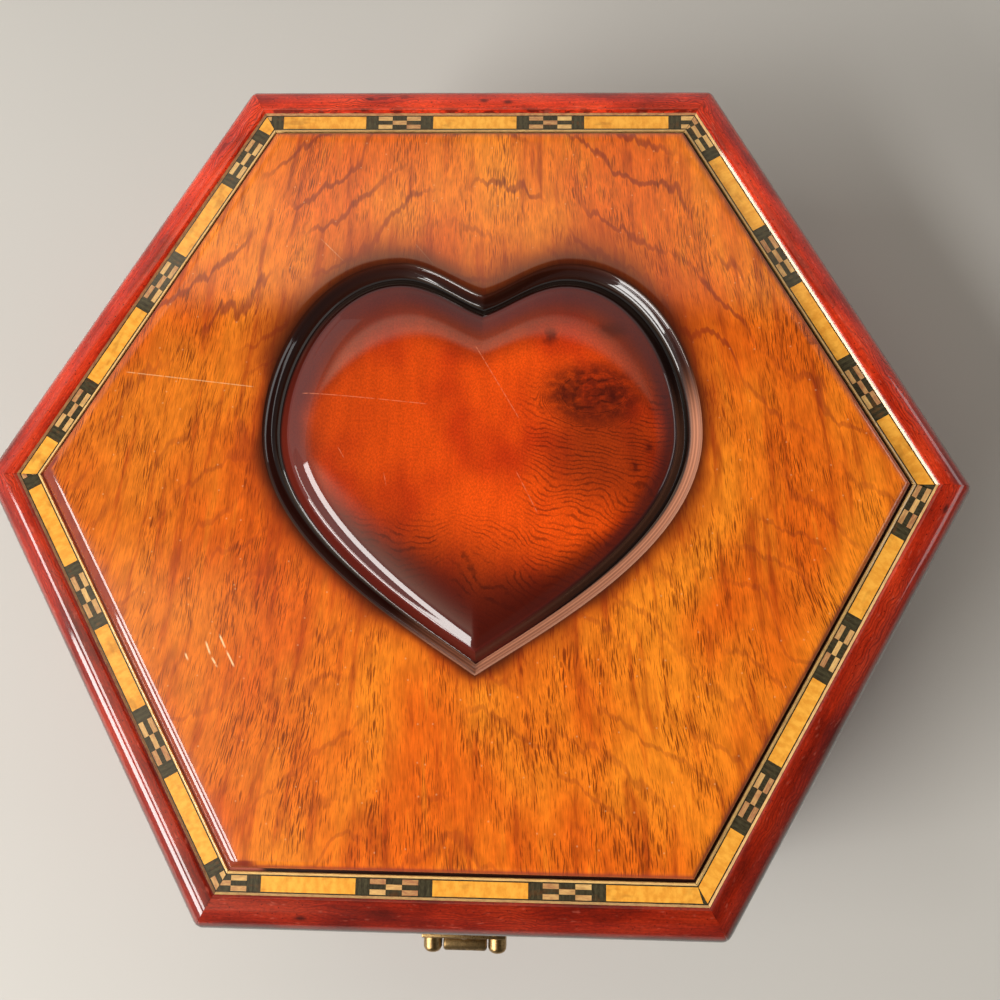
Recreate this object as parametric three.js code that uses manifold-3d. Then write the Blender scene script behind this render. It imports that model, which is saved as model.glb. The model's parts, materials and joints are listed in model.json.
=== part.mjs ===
// Six-sided musical jewelry box of veneered wood with a hinged lid and a brass catch.
// Millimetres, +Z up. The box stands on z = 0, +Y is the hinged back and -Y the front with the catch.
import * as THREE from 'three';
import { mergeVertices } from 'three/addons/utils/BufferGeometryUtils.js';
import Module from 'manifold-3d';

const wasm = await Module();
wasm.setup();

// Case
const ACROSS_FLATS = 176;
const BODY_HEIGHT = 54;
const LID_HEIGHT = 24;
const WALL_THICKNESS = 7;
const BOTTOM_THICKNESS = 5;
const SEAM_GAP = 0.5;
const CORNER_RADIUS = 2.5;
const LID_EDGE_RADIUS = 5;
const FOOT_EDGE_RADIUS = 1.5;
const SEAM_EDGE_RADIUS = 0.6;

// Glue lines and other places where two pieces meet, and the least rounding of a mitred corner
const GLUE_GAP = 0.3;
const MITRE_CORNER_RADIUS = 0.3;

// Lid panel, its raised field and the inlay around it
const PANEL_THICKNESS = 5.8;
const FIELD_RISE = 1.7;
const INLAY_WIDTH = 3.5;
const INLAY_THICKNESS = 0.6;
const INLAY_SINK = 0.3;
const GROOVE_WIDTH = 0.9;
const GROOVE_DEPTH = 0.5;
const FIELD_EDGE_RADIUS = 1.8;
const FRONT_LEFT_TRIM = 1.2;

// Heart and the moat around it
const HEART_WIDTH = 88.4;
const HEART_X = 2;
const HEART_Y = 0;
const MOAT_DEPTH = 2.5;
const PILLOW_SHOULDER = 0.7;
const PILLOW_RISE = 2.5;

// Hinges
const HINGE_LENGTH = 24;
const HINGE_SPACING = 56;
const LEAF_WIDTH = 10;
const LEAF_THICKNESS = 1;
const KNUCKLE_RADIUS = 2;
const HINGE_PIN_RADIUS = 0.8;
const PIN_CLEARANCE = 0.1;
const MIDDLE_KNUCKLE_LENGTH = 8;

// Catch
const CATCH_X = 0.5;
const CATCH_DROP = 13;
const CATCH_PLATE_HEIGHT = 12;
const CATCH_PLATE_THICKNESS = 1;
const LUG_WIDTH = 3.6;
const LUG_HEIGHT = 4.6;
const LUG_REACH = 5;
const LUG_NOSE_RADIUS = 1.2;
const ROLL_LENGTH = 8.6;
const ROLL_RADIUS = 1.6;
const CATCH_PIN_RADIUS = 0.6;
const TONGUE_LENGTH = 17;
const TONGUE_THICKNESS = 1.2;
const TONGUE_TAPER = 1;
const LIP_RADIUS = 1;
const KEEPER_WIDTH = 12;
const KEEPER_HEIGHT = 8;
const KEEPER_THICKNESS = 1;
const KEEPER_SINK = 7;
const STUD_RADIUS = 2.2;

// Fineness of the curves
const CORNER_STEPS = 4;
const EDGE_STEPS = 5;
const ROUND_STEPS = 24;
const HEART_STEPS = 14;
const DOME_STEPS = 6;
const MERGE_TOLERANCE = 1e-4;

// Worked out from the sizes above
const outerApothem = ACROSS_FLATS / 2;
const innerApothem = outerApothem - WALL_THICKNESS;
const lidBase = BODY_HEIGHT + SEAM_GAP;
const lidTop = lidBase + LID_HEIGHT;
const seamMiddle = BODY_HEIGHT + SEAM_GAP / 2;
const fieldTop = lidTop + FIELD_RISE;
const inlayTop = lidTop - INLAY_SINK;
const rebateFloor = inlayTop - INLAY_THICKNESS - GLUE_GAP;
const panelBase = rebateFloor - PANEL_THICKNESS;
const inlayOuter = innerApothem - GLUE_GAP;
const inlayInner = inlayOuter - INLAY_WIDTH;
const FAR = ACROSS_FLATS;

// The six sides, anticlockwise, each named by where it faces and given by the angle of its outward normal
const SIDES = [
  { name: 'back_right', degrees: 30 },
  { name: 'back', degrees: 90 },
  { name: 'back_left', degrees: 150 },
  { name: 'front_left', degrees: 210 },
  { name: 'front', degrees: 270 },
  { name: 'front_right', degrees: 330 },
];
const SIDE_TURN = Math.PI / 3;

function finish(colour, roughness, metalness = 0) {
  return new THREE.MeshStandardMaterial({ color: colour, roughness, metalness });
}

const redBurl = () => finish(0x8f2412, 0.22);
const panelVeneer = () => finish(0xb5622a, 0.25);
const bandVeneer = () => finish(0xcf9a45, 0.3);
const heartBurl = () => finish(0x7a1a0c, 0.15);
const plainWood = () => finish(0x8a5a34, 0.6);
const agedBrass = () => finish(0x9a7b48, 0.35, 1);

const box = new THREE.Group();

function place(name, geometry, material) {
  const mesh = new THREE.Mesh(geometry, material);
  mesh.name = name;
  box.add(mesh);
  return mesh;
}

// Solids and their cuts

function toSolid(geometry) {
  const bare = geometry.clone();
  bare.deleteAttribute('normal');
  bare.deleteAttribute('uv');
  const merged = mergeVertices(bare, MERGE_TOLERANCE);
  return new wasm.Manifold(new wasm.Mesh({
    numProp: 3,
    vertProperties: new Float32Array(merged.attributes.position.array),
    triVerts: new Uint32Array(merged.index.array),
  }));
}

function toGeometry(solid) {
  const mesh = solid.getMesh();
  const geometry = new THREE.BufferGeometry();
  geometry.setAttribute('position', new THREE.BufferAttribute(mesh.vertProperties, mesh.numProp));
  geometry.setIndex(new THREE.BufferAttribute(mesh.triVerts, 1));
  geometry.computeVertexNormals();
  return geometry;
}

function capTriangles(ring) {
  const outline = ring.map(([x, y]) => new THREE.Vector2(x, y));
  return THREE.ShapeUtils.triangulateShape(outline, []).map(([a, b, c]) => {
    const turn = THREE.ShapeUtils.area([outline[a], outline[b], outline[c]]);
    return turn > 0 ? [a, b, c] : [a, c, b];
  });
}

// Closed solid through a stack of rings of [x, y, z] points, each anticlockwise and as long as the others
function stackSolid(rings) {
  const count = rings[0].length;
  const indices = [];
  for (let level = 0; level + 1 < rings.length; level++) {
    for (let i = 0; i < count; i++) {
      const low = level * count + i;
      const lowNext = level * count + (i + 1) % count;
      indices.push(low, lowNext, lowNext + count, low, lowNext + count, low + count);
    }
  }
  const top = (rings.length - 1) * count;
  for (const [a, b, c] of capTriangles(rings[0])) {
    indices.push(a, c, b);
  }
  for (const [a, b, c] of capTriangles(rings.at(-1))) {
    indices.push(top + a, top + b, top + c);
  }
  const geometry = new THREE.BufferGeometry();
  geometry.setAttribute('position', new THREE.Float32BufferAttribute(rings.flat(2), 3));
  geometry.setIndex(indices);
  geometry.computeVertexNormals();
  return geometry;
}

// Hexagon whose sides lie at the given distances from the axis, with each corner rounded
function hexRing(distances, radius, z, steps = CORNER_STEPS) {
  const ring = [];
  SIDES.forEach((side, i) => {
    const following = (i + 1) % SIDES.length;
    const angle = THREE.MathUtils.degToRad(side.degrees);
    const near = distances[i] - radius;
    const far = distances[following] - radius;
    const along = (far - near * Math.cos(SIDE_TURN)) / Math.sin(SIDE_TURN);
    const x = near * Math.cos(angle) - along * Math.sin(angle);
    const y = near * Math.sin(angle) + along * Math.cos(angle);
    for (let step = 0; step <= steps; step++) {
      const turn = angle + SIDE_TURN * step / Math.max(steps, 1);
      ring.push([x + radius * Math.cos(turn), y + radius * Math.sin(turn), z]);
    }
  });
  return ring;
}

const even = (distance) => SIDES.map(() => distance);

function hexPlate(apothem, low, high) {
  return stackSolid([hexRing(even(apothem), 0, low, 0), hexRing(even(apothem), 0, high, 0)]);
}

// Quarter round as [inset, height] pairs: from the outer face at height 0 to an inset of one radius on top
function quarterRound(radius, steps = EDGE_STEPS) {
  const points = [];
  for (let step = 0; step <= steps; step++) {
    const turn = Math.PI / 2 * step / steps;
    points.push([radius * (1 - Math.cos(turn)), radius * Math.sin(turn)]);
  }
  return points;
}

// Outside of a case section: a rounded hexagon whose lower and upper edges are rounded over
function caseOutside(low, high, lowRadius, highRadius) {
  const ringAt = (inset, z) => {
    const radius = Math.max(CORNER_RADIUS - inset, MITRE_CORNER_RADIUS);
    return hexRing(even(outerApothem - inset), radius, z);
  };
  const lowFoot = low + lowRadius;
  const lower = quarterRound(lowRadius).reverse().map(([inset, rise]) => ringAt(inset, lowFoot - rise));
  const upper = quarterRound(highRadius).map(([inset, rise]) => ringAt(inset, high - highRadius + rise));
  return stackSolid([...lower, ...upper]);
}

// The sixth of the case on one side, cut back by half a glue line at each mitre
function sideWedge(side) {
  const apex = GLUE_GAP / 2 / Math.sin(SIDE_TURN / 2);
  const reach = FAR * Math.tan(SIDE_TURN / 2);
  const shape = new THREE.Shape([
    new THREE.Vector2(apex, 0),
    new THREE.Vector2(apex + FAR, -reach),
    new THREE.Vector2(apex + FAR, reach),
  ]);
  const wedge = new THREE.ExtrudeGeometry(shape, { depth: FAR, bevelEnabled: false });
  wedge.rotateZ(THREE.MathUtils.degToRad(side.degrees));
  return toSolid(wedge);
}

// Six mitred lengths of a ring, one on each side
function mitredRing(prefix, ring, material) {
  for (const side of SIDES) {
    place(prefix + side.name, toGeometry(ring.intersect(sideWedge(side))), material());
  }
}

function buildBody() {
  const outside = toSolid(caseOutside(0, BODY_HEIGHT, FOOT_EDGE_RADIUS, SEAM_EDGE_RADIUS));
  const inside = toSolid(hexPlate(innerApothem, -FAR, FAR));
  mitredRing('wall_', outside.subtract(inside), redBurl);
  place('bottom_board', hexPlate(innerApothem - GLUE_GAP, 0, BOTTOM_THICKNESS), plainWood());
}

function buildLidRails() {
  const outside = toSolid(caseOutside(lidBase, lidTop, SEAM_EDGE_RADIUS, LID_EDGE_RADIUS));
  const inside = toSolid(hexPlate(innerApothem, -FAR, FAR));
  mitredRing('lid_rail_', outside.subtract(inside), redBurl);
}

function buildInlay() {
  const low = inlayTop - INLAY_THICKNESS;
  const outside = toSolid(hexPlate(inlayOuter, low, inlayTop));
  const inside = toSolid(hexPlate(inlayInner, -FAR, FAR));
  mitredRing('inlay_', outside.subtract(inside), bandVeneer);
}

// Heart outlines, as shares of half the heart's width, for the right half from the cleft to the tip.
// Each stretch is a cubic curve given by two handles and its end.
const MOAT_EDGE = {
  start: [0, 0.864],
  stretches: [
    [[0.113, 0.896], [0.249, 1.023], [0.396, 1.023]],
    [[0.747, 1.023], [1, 0.633], [1, 0.226]],
    [[1, -0.294], [0.317, -0.665], [0, -0.878]],
  ],
};
const PILLOW_EDGE = {
  start: [0, 0.747],
  stretches: [
    [[0.113, 0.783], [0.238, 0.896], [0.385, 0.896]],
    [[0.656, 0.896], [0.871, 0.566], [0.871, 0.215]],
    [[0.871, -0.204], [0.294, -0.577], [0, -0.774]],
  ],
};
const HEART_MIDDLE = [0, 0.18];

// Points of a heart outline, anticlockwise from the cleft
function heartOutline({ start, stretches }) {
  const right = [];
  let from = start;
  for (const [first, second, to] of stretches) {
    const curve = new THREE.CubicBezierCurve(
      new THREE.Vector2(...from), new THREE.Vector2(...first),
      new THREE.Vector2(...second), new THREE.Vector2(...to),
    );
    right.push(...curve.getPoints(HEART_STEPS).slice(0, HEART_STEPS));
    from = to;
  }
  const tip = new THREE.Vector2(...from);
  const left = right.slice(1).map(({ x, y }) => new THREE.Vector2(-x, y));
  return [right[0], ...left, tip, ...right.slice(1).reverse()];
}

const moatEdge = heartOutline(MOAT_EDGE);
const pillowEdge = heartOutline(PILLOW_EDGE);

function onLid({ x, y }, height) {
  const half = HEART_WIDTH / 2;
  return [HEART_X + x * half, HEART_Y + y * half, fieldTop + height];
}

// Ring between the moat's edge at share 0 and the pillow's edge at share 1
function heartRing(share, height) {
  return moatEdge.map((point, i) => onLid(point.clone().lerp(pillowEdge[i], share), height));
}

// Ring inside the pillow's edge, drawn in towards the heart's middle
function domeRing(scale, height) {
  const middle = new THREE.Vector2(...HEART_MIDDLE);
  return pillowEdge.map((point) => onLid(middle.clone().lerp(point, scale), height));
}

// Height on the moat's outer wall, as a share of its depth, at shares of the way to the pillow's edge
const MOAT_WALL = [[0.32, -1], [0.26, -0.88], [0.17, -0.62], [0.08, -0.3], [0, -0.1], [-0.13, -0.03]];
const MOAT_MOUTH = -0.27;
const MOUTH_FLARE = 0.05;

const mitredHexRing = (apothem, z) => hexRing(even(apothem), MITRE_CORNER_RADIUS, z, 1);

function buildPanel() {
  const foot = inlayInner - GLUE_GAP;
  const groove = foot - GROOVE_WIDTH;
  const grooveFloor = inlayTop - GROOVE_DEPTH;
  const fieldRing = (inset, z) => {
    const trim = (side) => (side.name === 'front_left' ? FRONT_LEFT_TRIM : 0);
    const distances = SIDES.map((side) => groove - inset - trim(side));
    return hexRing(distances, MITRE_CORNER_RADIUS, z, 1);
  };
  const edgeFoot = fieldTop - FIELD_EDGE_RADIUS;
  const edge = quarterRound(FIELD_EDGE_RADIUS).map(([inset, rise]) => fieldRing(inset, edgeFoot + rise));
  const plate = stackSolid([
    mitredHexRing(inlayOuter, panelBase),
    mitredHexRing(inlayOuter, rebateFloor),
    mitredHexRing(foot, rebateFloor),
    mitredHexRing(foot, grooveFloor),
    fieldRing(0, grooveFloor),
    ...edge,
  ]);
  const moat = stackSolid([
    ...MOAT_WALL.map(([share, depth]) => heartRing(share, depth * MOAT_DEPTH)),
    heartRing(MOAT_MOUTH, 0),
    heartRing(MOAT_MOUTH - MOUTH_FLARE, FIELD_RISE),
  ]);
  place('lid_panel', toGeometry(toSolid(plate).subtract(toSolid(moat))), panelVeneer());
}

// Height on the pillow's wall, from its foot at 0 to its shoulder at 1
const PILLOW_WALL = [[0.42, 0], [0.46, 0.05], [0.53, 0.2], [0.61, 0.42], [0.71, 0.67], [0.85, 0.89], [1, 1]];
const DOME_POWER = 2.4;
const CROWN_SCALE = 0.08;

function buildHeart() {
  const foot = GLUE_GAP - MOAT_DEPTH;
  const wall = PILLOW_WALL.map(([share, rise]) => heartRing(share, foot + rise * (PILLOW_SHOULDER - foot)));
  const dome = [];
  for (let step = 1; step <= DOME_STEPS; step++) {
    const scale = 1 - (1 - CROWN_SCALE) * step / DOME_STEPS;
    const rise = (PILLOW_RISE - PILLOW_SHOULDER) * (1 - scale ** DOME_POWER);
    dome.push(domeRing(scale, PILLOW_SHOULDER + rise));
  }
  place('heart', stackSolid([...wall, ...dome]), heartBurl());
}

// A round bar along X, from its left end to its right end
function barAlongX(radius, left, right, y, z) {
  const bar = new THREE.CylinderGeometry(radius, radius, right - left, ROUND_STEPS);
  bar.rotateZ(Math.PI / 2);
  bar.translate((left + right) / 2, y, z);
  return bar;
}

function block(lowX, highX, lowY, highY, lowZ, highZ) {
  const shape = new THREE.BoxGeometry(highX - lowX, highY - lowY, highZ - lowZ);
  shape.translate((lowX + highX) / 2, (lowY + highY) / 2, (lowZ + highZ) / 2);
  return shape;
}

// Surface-mounted butt hinge on the back, its knuckles level with the seam
const leafFace = outerApothem + GLUE_GAP;
const hingeY = leafFace + KNUCKLE_RADIUS;

function hingeLeaf(centreX, direction, knuckles) {
  const half = HINGE_LENGTH / 2;
  const inner = seamMiddle + direction * (KNUCKLE_RADIUS + GLUE_GAP);
  const outer = seamMiddle + direction * LEAF_WIDTH;
  const backs = [leafFace, leafFace + LEAF_THICKNESS];
  const low = Math.min(inner, outer);
  const high = Math.max(inner, outer);
  const plate = block(centreX - half, centreX + half, ...backs, low, high);
  let leaf = toSolid(plate);
  for (const [left, right] of knuckles) {
    const ends = [centreX + left, centreX + right];
    const root = inner + direction * LEAF_THICKNESS;
    const web = block(...ends, ...backs, Math.min(seamMiddle, root), Math.max(seamMiddle, root));
    leaf = leaf.add(toSolid(web)).add(toSolid(barAlongX(KNUCKLE_RADIUS, ...ends, hingeY, seamMiddle)));
  }
  const boreRadius = HINGE_PIN_RADIUS + PIN_CLEARANCE;
  const bore = barAlongX(boreRadius, centreX - FAR, centreX + FAR, hingeY, seamMiddle);
  return toGeometry(leaf.subtract(toSolid(bore)));
}

function buildHinge(name, centreX) {
  const half = HINGE_LENGTH / 2;
  const middle = MIDDLE_KNUCKLE_LENGTH / 2;
  const lidKnuckle = [[-middle, middle]];
  const boxKnuckles = [[-half, -middle - GLUE_GAP], [middle + GLUE_GAP, half]];
  const pin = barAlongX(HINGE_PIN_RADIUS, centreX - half, centreX + half, hingeY, seamMiddle);
  place(`${name}_box_leaf`, hingeLeaf(centreX, -1, boxKnuckles), agedBrass());
  place(`${name}_lid_leaf`, hingeLeaf(centreX, 1, lidKnuckle), agedBrass());
  place(`${name}_pin`, pin, agedBrass());
}

// Catch on the front: two rounded lugs hold the roll of a hasp, whose tongue hangs over a stud on the body
const plateFace = -outerApothem - GLUE_GAP;
const plateFront = plateFace - CATCH_PLATE_THICKNESS;
const rollY = plateFront - GLUE_GAP - ROLL_RADIUS;
const rollZ = lidTop - CATCH_DROP;
const lugX = ROLL_LENGTH / 2 + GLUE_GAP + LUG_WIDTH / 2;
const catchHalf = lugX + LUG_WIDTH / 2;

// Upright section of a lug: straight sides between a round top and a round bottom
function lugRing(inset, depth) {
  const radius = LUG_WIDTH / 2 - inset;
  const straight = (LUG_HEIGHT - LUG_WIDTH) / 2;
  const ring = [];
  for (let step = 0; step < ROUND_STEPS; step++) {
    const turn = 2 * Math.PI * (step + 0.5) / ROUND_STEPS;
    const shift = Math.sin(turn) > 0 ? straight : -straight;
    ring.push([radius * Math.cos(turn), radius * Math.sin(turn) + shift, depth]);
  }
  return ring;
}

function lug(centreX) {
  const root = CATCH_PLATE_THICKNESS / 2;
  const noseFoot = LUG_REACH - GLUE_GAP - root - LUG_NOSE_RADIUS;
  const nose = quarterRound(LUG_NOSE_RADIUS).map(([inset, rise]) => lugRing(inset, noseFoot + rise));
  const shape = stackSolid([lugRing(0, 0), ...nose]);
  shape.rotateX(Math.PI / 2);
  shape.translate(centreX, plateFace - root, rollZ);
  return toSolid(shape);
}

function buildCatch() {
  const half = CATCH_PLATE_HEIGHT / 2;
  const left = CATCH_X - catchHalf;
  const right = CATCH_X + catchHalf;
  const bore = toSolid(barAlongX(CATCH_PIN_RADIUS + PIN_CLEARANCE, left - FAR, right + FAR, rollY, rollZ));
  const plate = toSolid(block(left, right, plateFront, plateFace, rollZ - half, rollZ + half))
    .add(lug(CATCH_X - lugX))
    .add(lug(CATCH_X + lugX))
    .subtract(bore);
  place('catch_plate', toGeometry(plate), agedBrass());
  place('catch_pin', barAlongX(CATCH_PIN_RADIUS, left, right, rollY, rollZ), agedBrass());

  const rollHalf = ROLL_LENGTH / 2;
  const tongueHalf = rollHalf - TONGUE_TAPER;
  const tongueBack = rollY + TONGUE_THICKNESS / 2;
  const tongueFront = rollY - TONGUE_THICKNESS / 2;
  const tongueEnd = rollZ - TONGUE_LENGTH;
  const tongueEnds = [CATCH_X - tongueHalf, CATCH_X + tongueHalf];
  const tongue = toSolid(barAlongX(ROLL_RADIUS, CATCH_X - rollHalf, CATCH_X + rollHalf, rollY, rollZ))
    .add(toSolid(block(...tongueEnds, tongueFront, tongueBack, tongueEnd, rollZ)))
    .add(toSolid(barAlongX(LIP_RADIUS, ...tongueEnds, tongueBack - LIP_RADIUS, tongueEnd)))
    .subtract(bore);
  place('catch_hasp', toGeometry(tongue), agedBrass());

  const keeperTop = BODY_HEIGHT - KEEPER_SINK + KEEPER_HEIGHT / 2;
  const keeperFront = plateFace - KEEPER_THICKNESS;
  const keeperEnds = [CATCH_X - KEEPER_WIDTH / 2, CATCH_X + KEEPER_WIDTH / 2];
  const studFront = tongueBack + GLUE_GAP;
  const studRoot = keeperFront + KEEPER_THICKNESS / 2;
  const stud = new THREE.CylinderGeometry(STUD_RADIUS, STUD_RADIUS, studRoot - studFront, ROUND_STEPS);
  stud.translate(CATCH_X, (studRoot + studFront) / 2, keeperTop - KEEPER_HEIGHT / 2);
  const keeper = toSolid(block(...keeperEnds, keeperFront, plateFace, keeperTop - KEEPER_HEIGHT, keeperTop))
    .add(toSolid(stud));
  place('catch_keeper', toGeometry(keeper), agedBrass());
}

buildBody();
buildLidRails();
buildInlay();
buildPanel();
buildHeart();
buildHinge('hinge_left', -HINGE_SPACING / 2);
buildHinge('hinge_right', HINGE_SPACING / 2);
buildCatch();

export default box;
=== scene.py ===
# %% [markdown]
# # A six-sided jewelry box with a heart on its lid
# The box is veneered wood under thick lacquer. Its lid has a red burl frame, a chequered inlay, an
# orange-brown panel with a heart-shaped moat cut into it, and a red heart that rises out of the moat
# like a pillow. The model of the construction is loaded first and stays as it is. Everything below
# dresses it.

# %% Load the frame
import json
import math
import bmesh
import bpy
import numpy as np
from mathutils import Matrix, Vector


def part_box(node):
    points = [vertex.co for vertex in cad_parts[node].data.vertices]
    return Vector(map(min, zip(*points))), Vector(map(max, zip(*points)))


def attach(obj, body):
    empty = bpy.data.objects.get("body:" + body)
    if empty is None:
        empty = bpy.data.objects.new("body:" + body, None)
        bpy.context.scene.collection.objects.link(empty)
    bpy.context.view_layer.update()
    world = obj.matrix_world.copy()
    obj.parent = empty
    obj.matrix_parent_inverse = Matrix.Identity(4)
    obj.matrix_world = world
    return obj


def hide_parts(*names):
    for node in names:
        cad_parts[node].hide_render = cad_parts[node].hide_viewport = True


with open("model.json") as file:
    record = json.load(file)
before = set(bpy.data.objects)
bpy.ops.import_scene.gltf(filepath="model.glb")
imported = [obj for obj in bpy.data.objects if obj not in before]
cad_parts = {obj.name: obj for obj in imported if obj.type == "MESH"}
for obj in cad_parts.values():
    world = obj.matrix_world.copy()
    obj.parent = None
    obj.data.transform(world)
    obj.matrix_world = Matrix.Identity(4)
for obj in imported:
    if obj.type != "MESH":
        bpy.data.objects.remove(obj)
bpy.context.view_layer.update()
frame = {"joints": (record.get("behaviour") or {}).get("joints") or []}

# %% [markdown]
# Sizes here are in millimetres, as a joiner would write them, and become metres only when a mesh is
# made. The main sizes are read back from the loaded nodes, so that the dressing follows the
# construction.

# %% Main sizes, read from the frame
MM = 0.001


def node_box(node):
    low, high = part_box(node)
    return np.array(low) / MM, np.array(high) / MM


wall_low, wall_high = node_box("wall_front")
rail_low, rail_high = node_box("lid_rail_front")
strip_low, strip_high = node_box("inlay_front")
panel_low, panel_high = node_box("lid_panel")
heart_top = node_box("heart")[1][2]
outer_apothem = -wall_low[1]
inner_apothem = -wall_high[1]
lid_base, lid_top = rail_low[2], rail_high[2]
inlay_top, inlay_inner = strip_high[2], -strip_high[1]
field_top = panel_high[2]
print(f"across flats {2 * outer_apothem:.1f}, lid from {lid_base:.1f} to {lid_top:.1f}")

# %% [markdown]
# The picture is taken from close above the lid, a little to the front and the right, and almost
# straight down. The camera is set before anything else, because it decides how fine each surface has
# to be. At this height a pixel is about a fifth of a millimetre on the lid.

# %% Camera
CAMERA_PLACE = (13.6, -40.2, lid_top + 197.9)
CAMERA_LOOK = (-0.0369, 0.1785, -0.9832)
CAMERA_UP = (-0.0127, 0.9838, 0.1791)
SENSOR = 36.0
CAMERA_NEAR = 0.01


def aim(place, look, up):
    """Matrix of a camera or lamp at a place in millimetres, which looks along its own -Z."""
    back = -Vector(look).normalized()
    right = Vector(up).cross(back).normalized()
    turn = Matrix((right, back.cross(right), back)).transposed().to_4x4()
    return Matrix.Translation(Vector(place) * MM) @ turn


camera_data = bpy.data.cameras.new("camera")
camera_data.sensor_width = SENSOR
camera_data.lens = SENSOR
camera_data.clip_start = CAMERA_NEAR
camera = bpy.data.objects.new("camera", camera_data)
bpy.context.scene.collection.objects.link(camera)
camera.matrix_world = aim(CAMERA_PLACE, CAMERA_LOOK, CAMERA_UP)
bpy.context.scene.camera = camera
bpy.context.scene.view_settings.view_transform = "Standard"
print("camera height above the lid", round(CAMERA_PLACE[2] - lid_top), "mm")

# %% [markdown]
# Most pieces of the box are lofts: one outline carried along a path, ring after ring. A loft of
# closed rings with flat ends is a closed solid, whatever the outline, so one helper makes nearly all
# of them. Shading is smooth, but edges that turn more sharply than an eased edge does are kept crisp.

# %% Helpers for meshes
CRISP_ANGLE = math.radians(38)


def finish_piece(name, mesh, body, materials, stands_for):
    """Puts a finished mesh in the scene, riding on a body and standing for its nodes."""
    piece = bpy.data.objects.new(name, mesh)
    bpy.context.scene.collection.objects.link(piece)
    for material in materials:
        mesh.materials.append(material)
    mesh.shade_smooth()
    mesh.set_sharp_from_angle(angle=CRISP_ANGLE)
    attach(piece, body)
    if stands_for:
        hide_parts(*stands_for)
    return piece


def loft(name, rings):
    """Closed mesh through rings of points in millimetres, shaped (rings, points, 3)."""
    rings = np.asarray(rings, float)
    count, around = rings.shape[:2]
    faces = []
    for level in range(count - 1):
        for i in range(around):
            j = (i + 1) % around
            low, high = level * around, (level + 1) * around
            faces.append((low + i, low + j, high + j, high + i))
    faces.append(tuple(reversed(range(around))))
    faces.append(tuple(range((count - 1) * around, count * around)))
    mesh = bpy.data.meshes.new(name)
    mesh.from_pydata((rings.reshape(-1, 3) * MM).tolist(), [], faces)
    face_out(mesh)
    return mesh


def face_out(mesh):
    """Turns the faces of a closed mesh outwards."""
    work = bmesh.new()
    work.from_mesh(mesh)
    bmesh.ops.recalc_face_normals(work, faces=work.faces)
    work.to_mesh(mesh)
    work.free()

# %% [markdown]
# Small forms, such as nails and slips of veneer, are built vertex by vertex. Their faces could be
# listed by hand, but one helper skins any row of rings the same way. Finishes also need numbers that
# the shape alone doesn't tell, such as how far a point is from the moat, so the mesh carries them as
# notes.

# %% Helpers for small forms, notes and curves


def skin(work, rings):
    """Faces from ring to ring of vertices and one at each end, all turned outwards."""
    faces = [work.faces.new(rings[0]), work.faces.new(rings[-1][::-1])]
    for first, second in zip(rings, rings[1:]):
        for i in range(len(first)):
            j = (i + 1) % len(first)
            faces.append(work.faces.new((first[j], first[i], second[i], second[j])))
    bmesh.ops.recalc_face_normals(work, faces=faces)
    return faces


def note(mesh, name, values):
    """Stores one number, or one vector, for each point of a mesh, for its finish to read."""
    values = np.asarray(values, np.float32)
    if values.ndim == 2:
        mesh.attributes.new(name, "FLOAT_VECTOR", "POINT").data.foreach_set("vector", values.ravel())
    else:
        mesh.attributes.new(name, "FLOAT", "POINT").data.foreach_set("value", values)


def ease(share):
    """Smooth step from 0 to 1."""
    share = np.clip(share, 0, 1)
    return share * share * (3 - 2 * share)


def smooth_line(points, steps):
    """Points along a Catmull-Rom curve through a few given points."""
    points = np.asarray(points, float)
    padded = np.vstack([2 * points[0] - points[1], points, 2 * points[-1] - points[-2]])
    line = []
    for a, b, c, d in zip(padded, padded[1:], padded[2:], padded[3:]):
        for t in np.arange(steps) / steps:
            bend = (2 * a - 5 * b + 4 * c - d) * t * t + (3 * b - a - 3 * c + d) * t ** 3
            line.append(b + 0.5 * ((c - a) * t + bend))
    line.append(points[-1])
    return np.array(line)

# %% [markdown]
# A lacquered veneer has three layers that the eye reads apart: the colour of the wood, the pores that
# the lacquer doesn't quite fill, and the clear gloss on top. Each finish is a chain of small nodes,
# so a short helper that adds one node at a time keeps the recipes readable, and amounts can be added
# and multiplied like numbers. Numbers that hold for the whole surface are set on the shader.

# %% Helpers for finishes


def tint(red, green, blue):
    """Linear colour from the red, green and blue of a picture, 0 to 255."""
    shares = [value / 255 for value in (red, green, blue)]
    linear = [s / 12.92 if s <= 0.04045 else ((s + 0.055) / 1.055) ** 2.4 for s in shares]
    return (*linear, 1.0)


# Sockets of the mix node that take and give colours, and the values between which a noise mostly lies
COLOUR_A, COLOUR_B, COLOUR_OUT = 6, 7, 2
NOISE_LOW, NOISE_HIGH = 0.3, 0.7


class Amount:
    """What one node gives out. Arithmetic with amounts adds the nodes that reckon it."""

    def __init__(self, recipe, socket):
        self.recipe, self.socket = recipe, socket

    def reckon(self, operation, first, second):
        return self.recipe.out("Math", {0: first, 1: second}, operation=operation)

    def __add__(self, other):
        return self.reckon("ADD", self, other)

    def __radd__(self, other):
        return self.reckon("ADD", other, self)

    def __sub__(self, other):
        return self.reckon("SUBTRACT", self, other)

    def __rsub__(self, other):
        return self.reckon("SUBTRACT", other, self)

    def __mul__(self, other):
        return self.reckon("MULTIPLY", self, other)

    def __rmul__(self, other):
        return self.reckon("MULTIPLY", other, self)

    def __truediv__(self, other):
        return self.reckon("DIVIDE", self, other)

# %% [markdown]
# A recipe adds one node at a time to a tree. The nodes could be wired by hand in the editor, which
# shows them well, but words are easier to read again and to change. Noise and scattered points give
# the wood its figure, and a smooth rise turns either of them into a share between 0 and 1.

# %% Recipes


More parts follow.
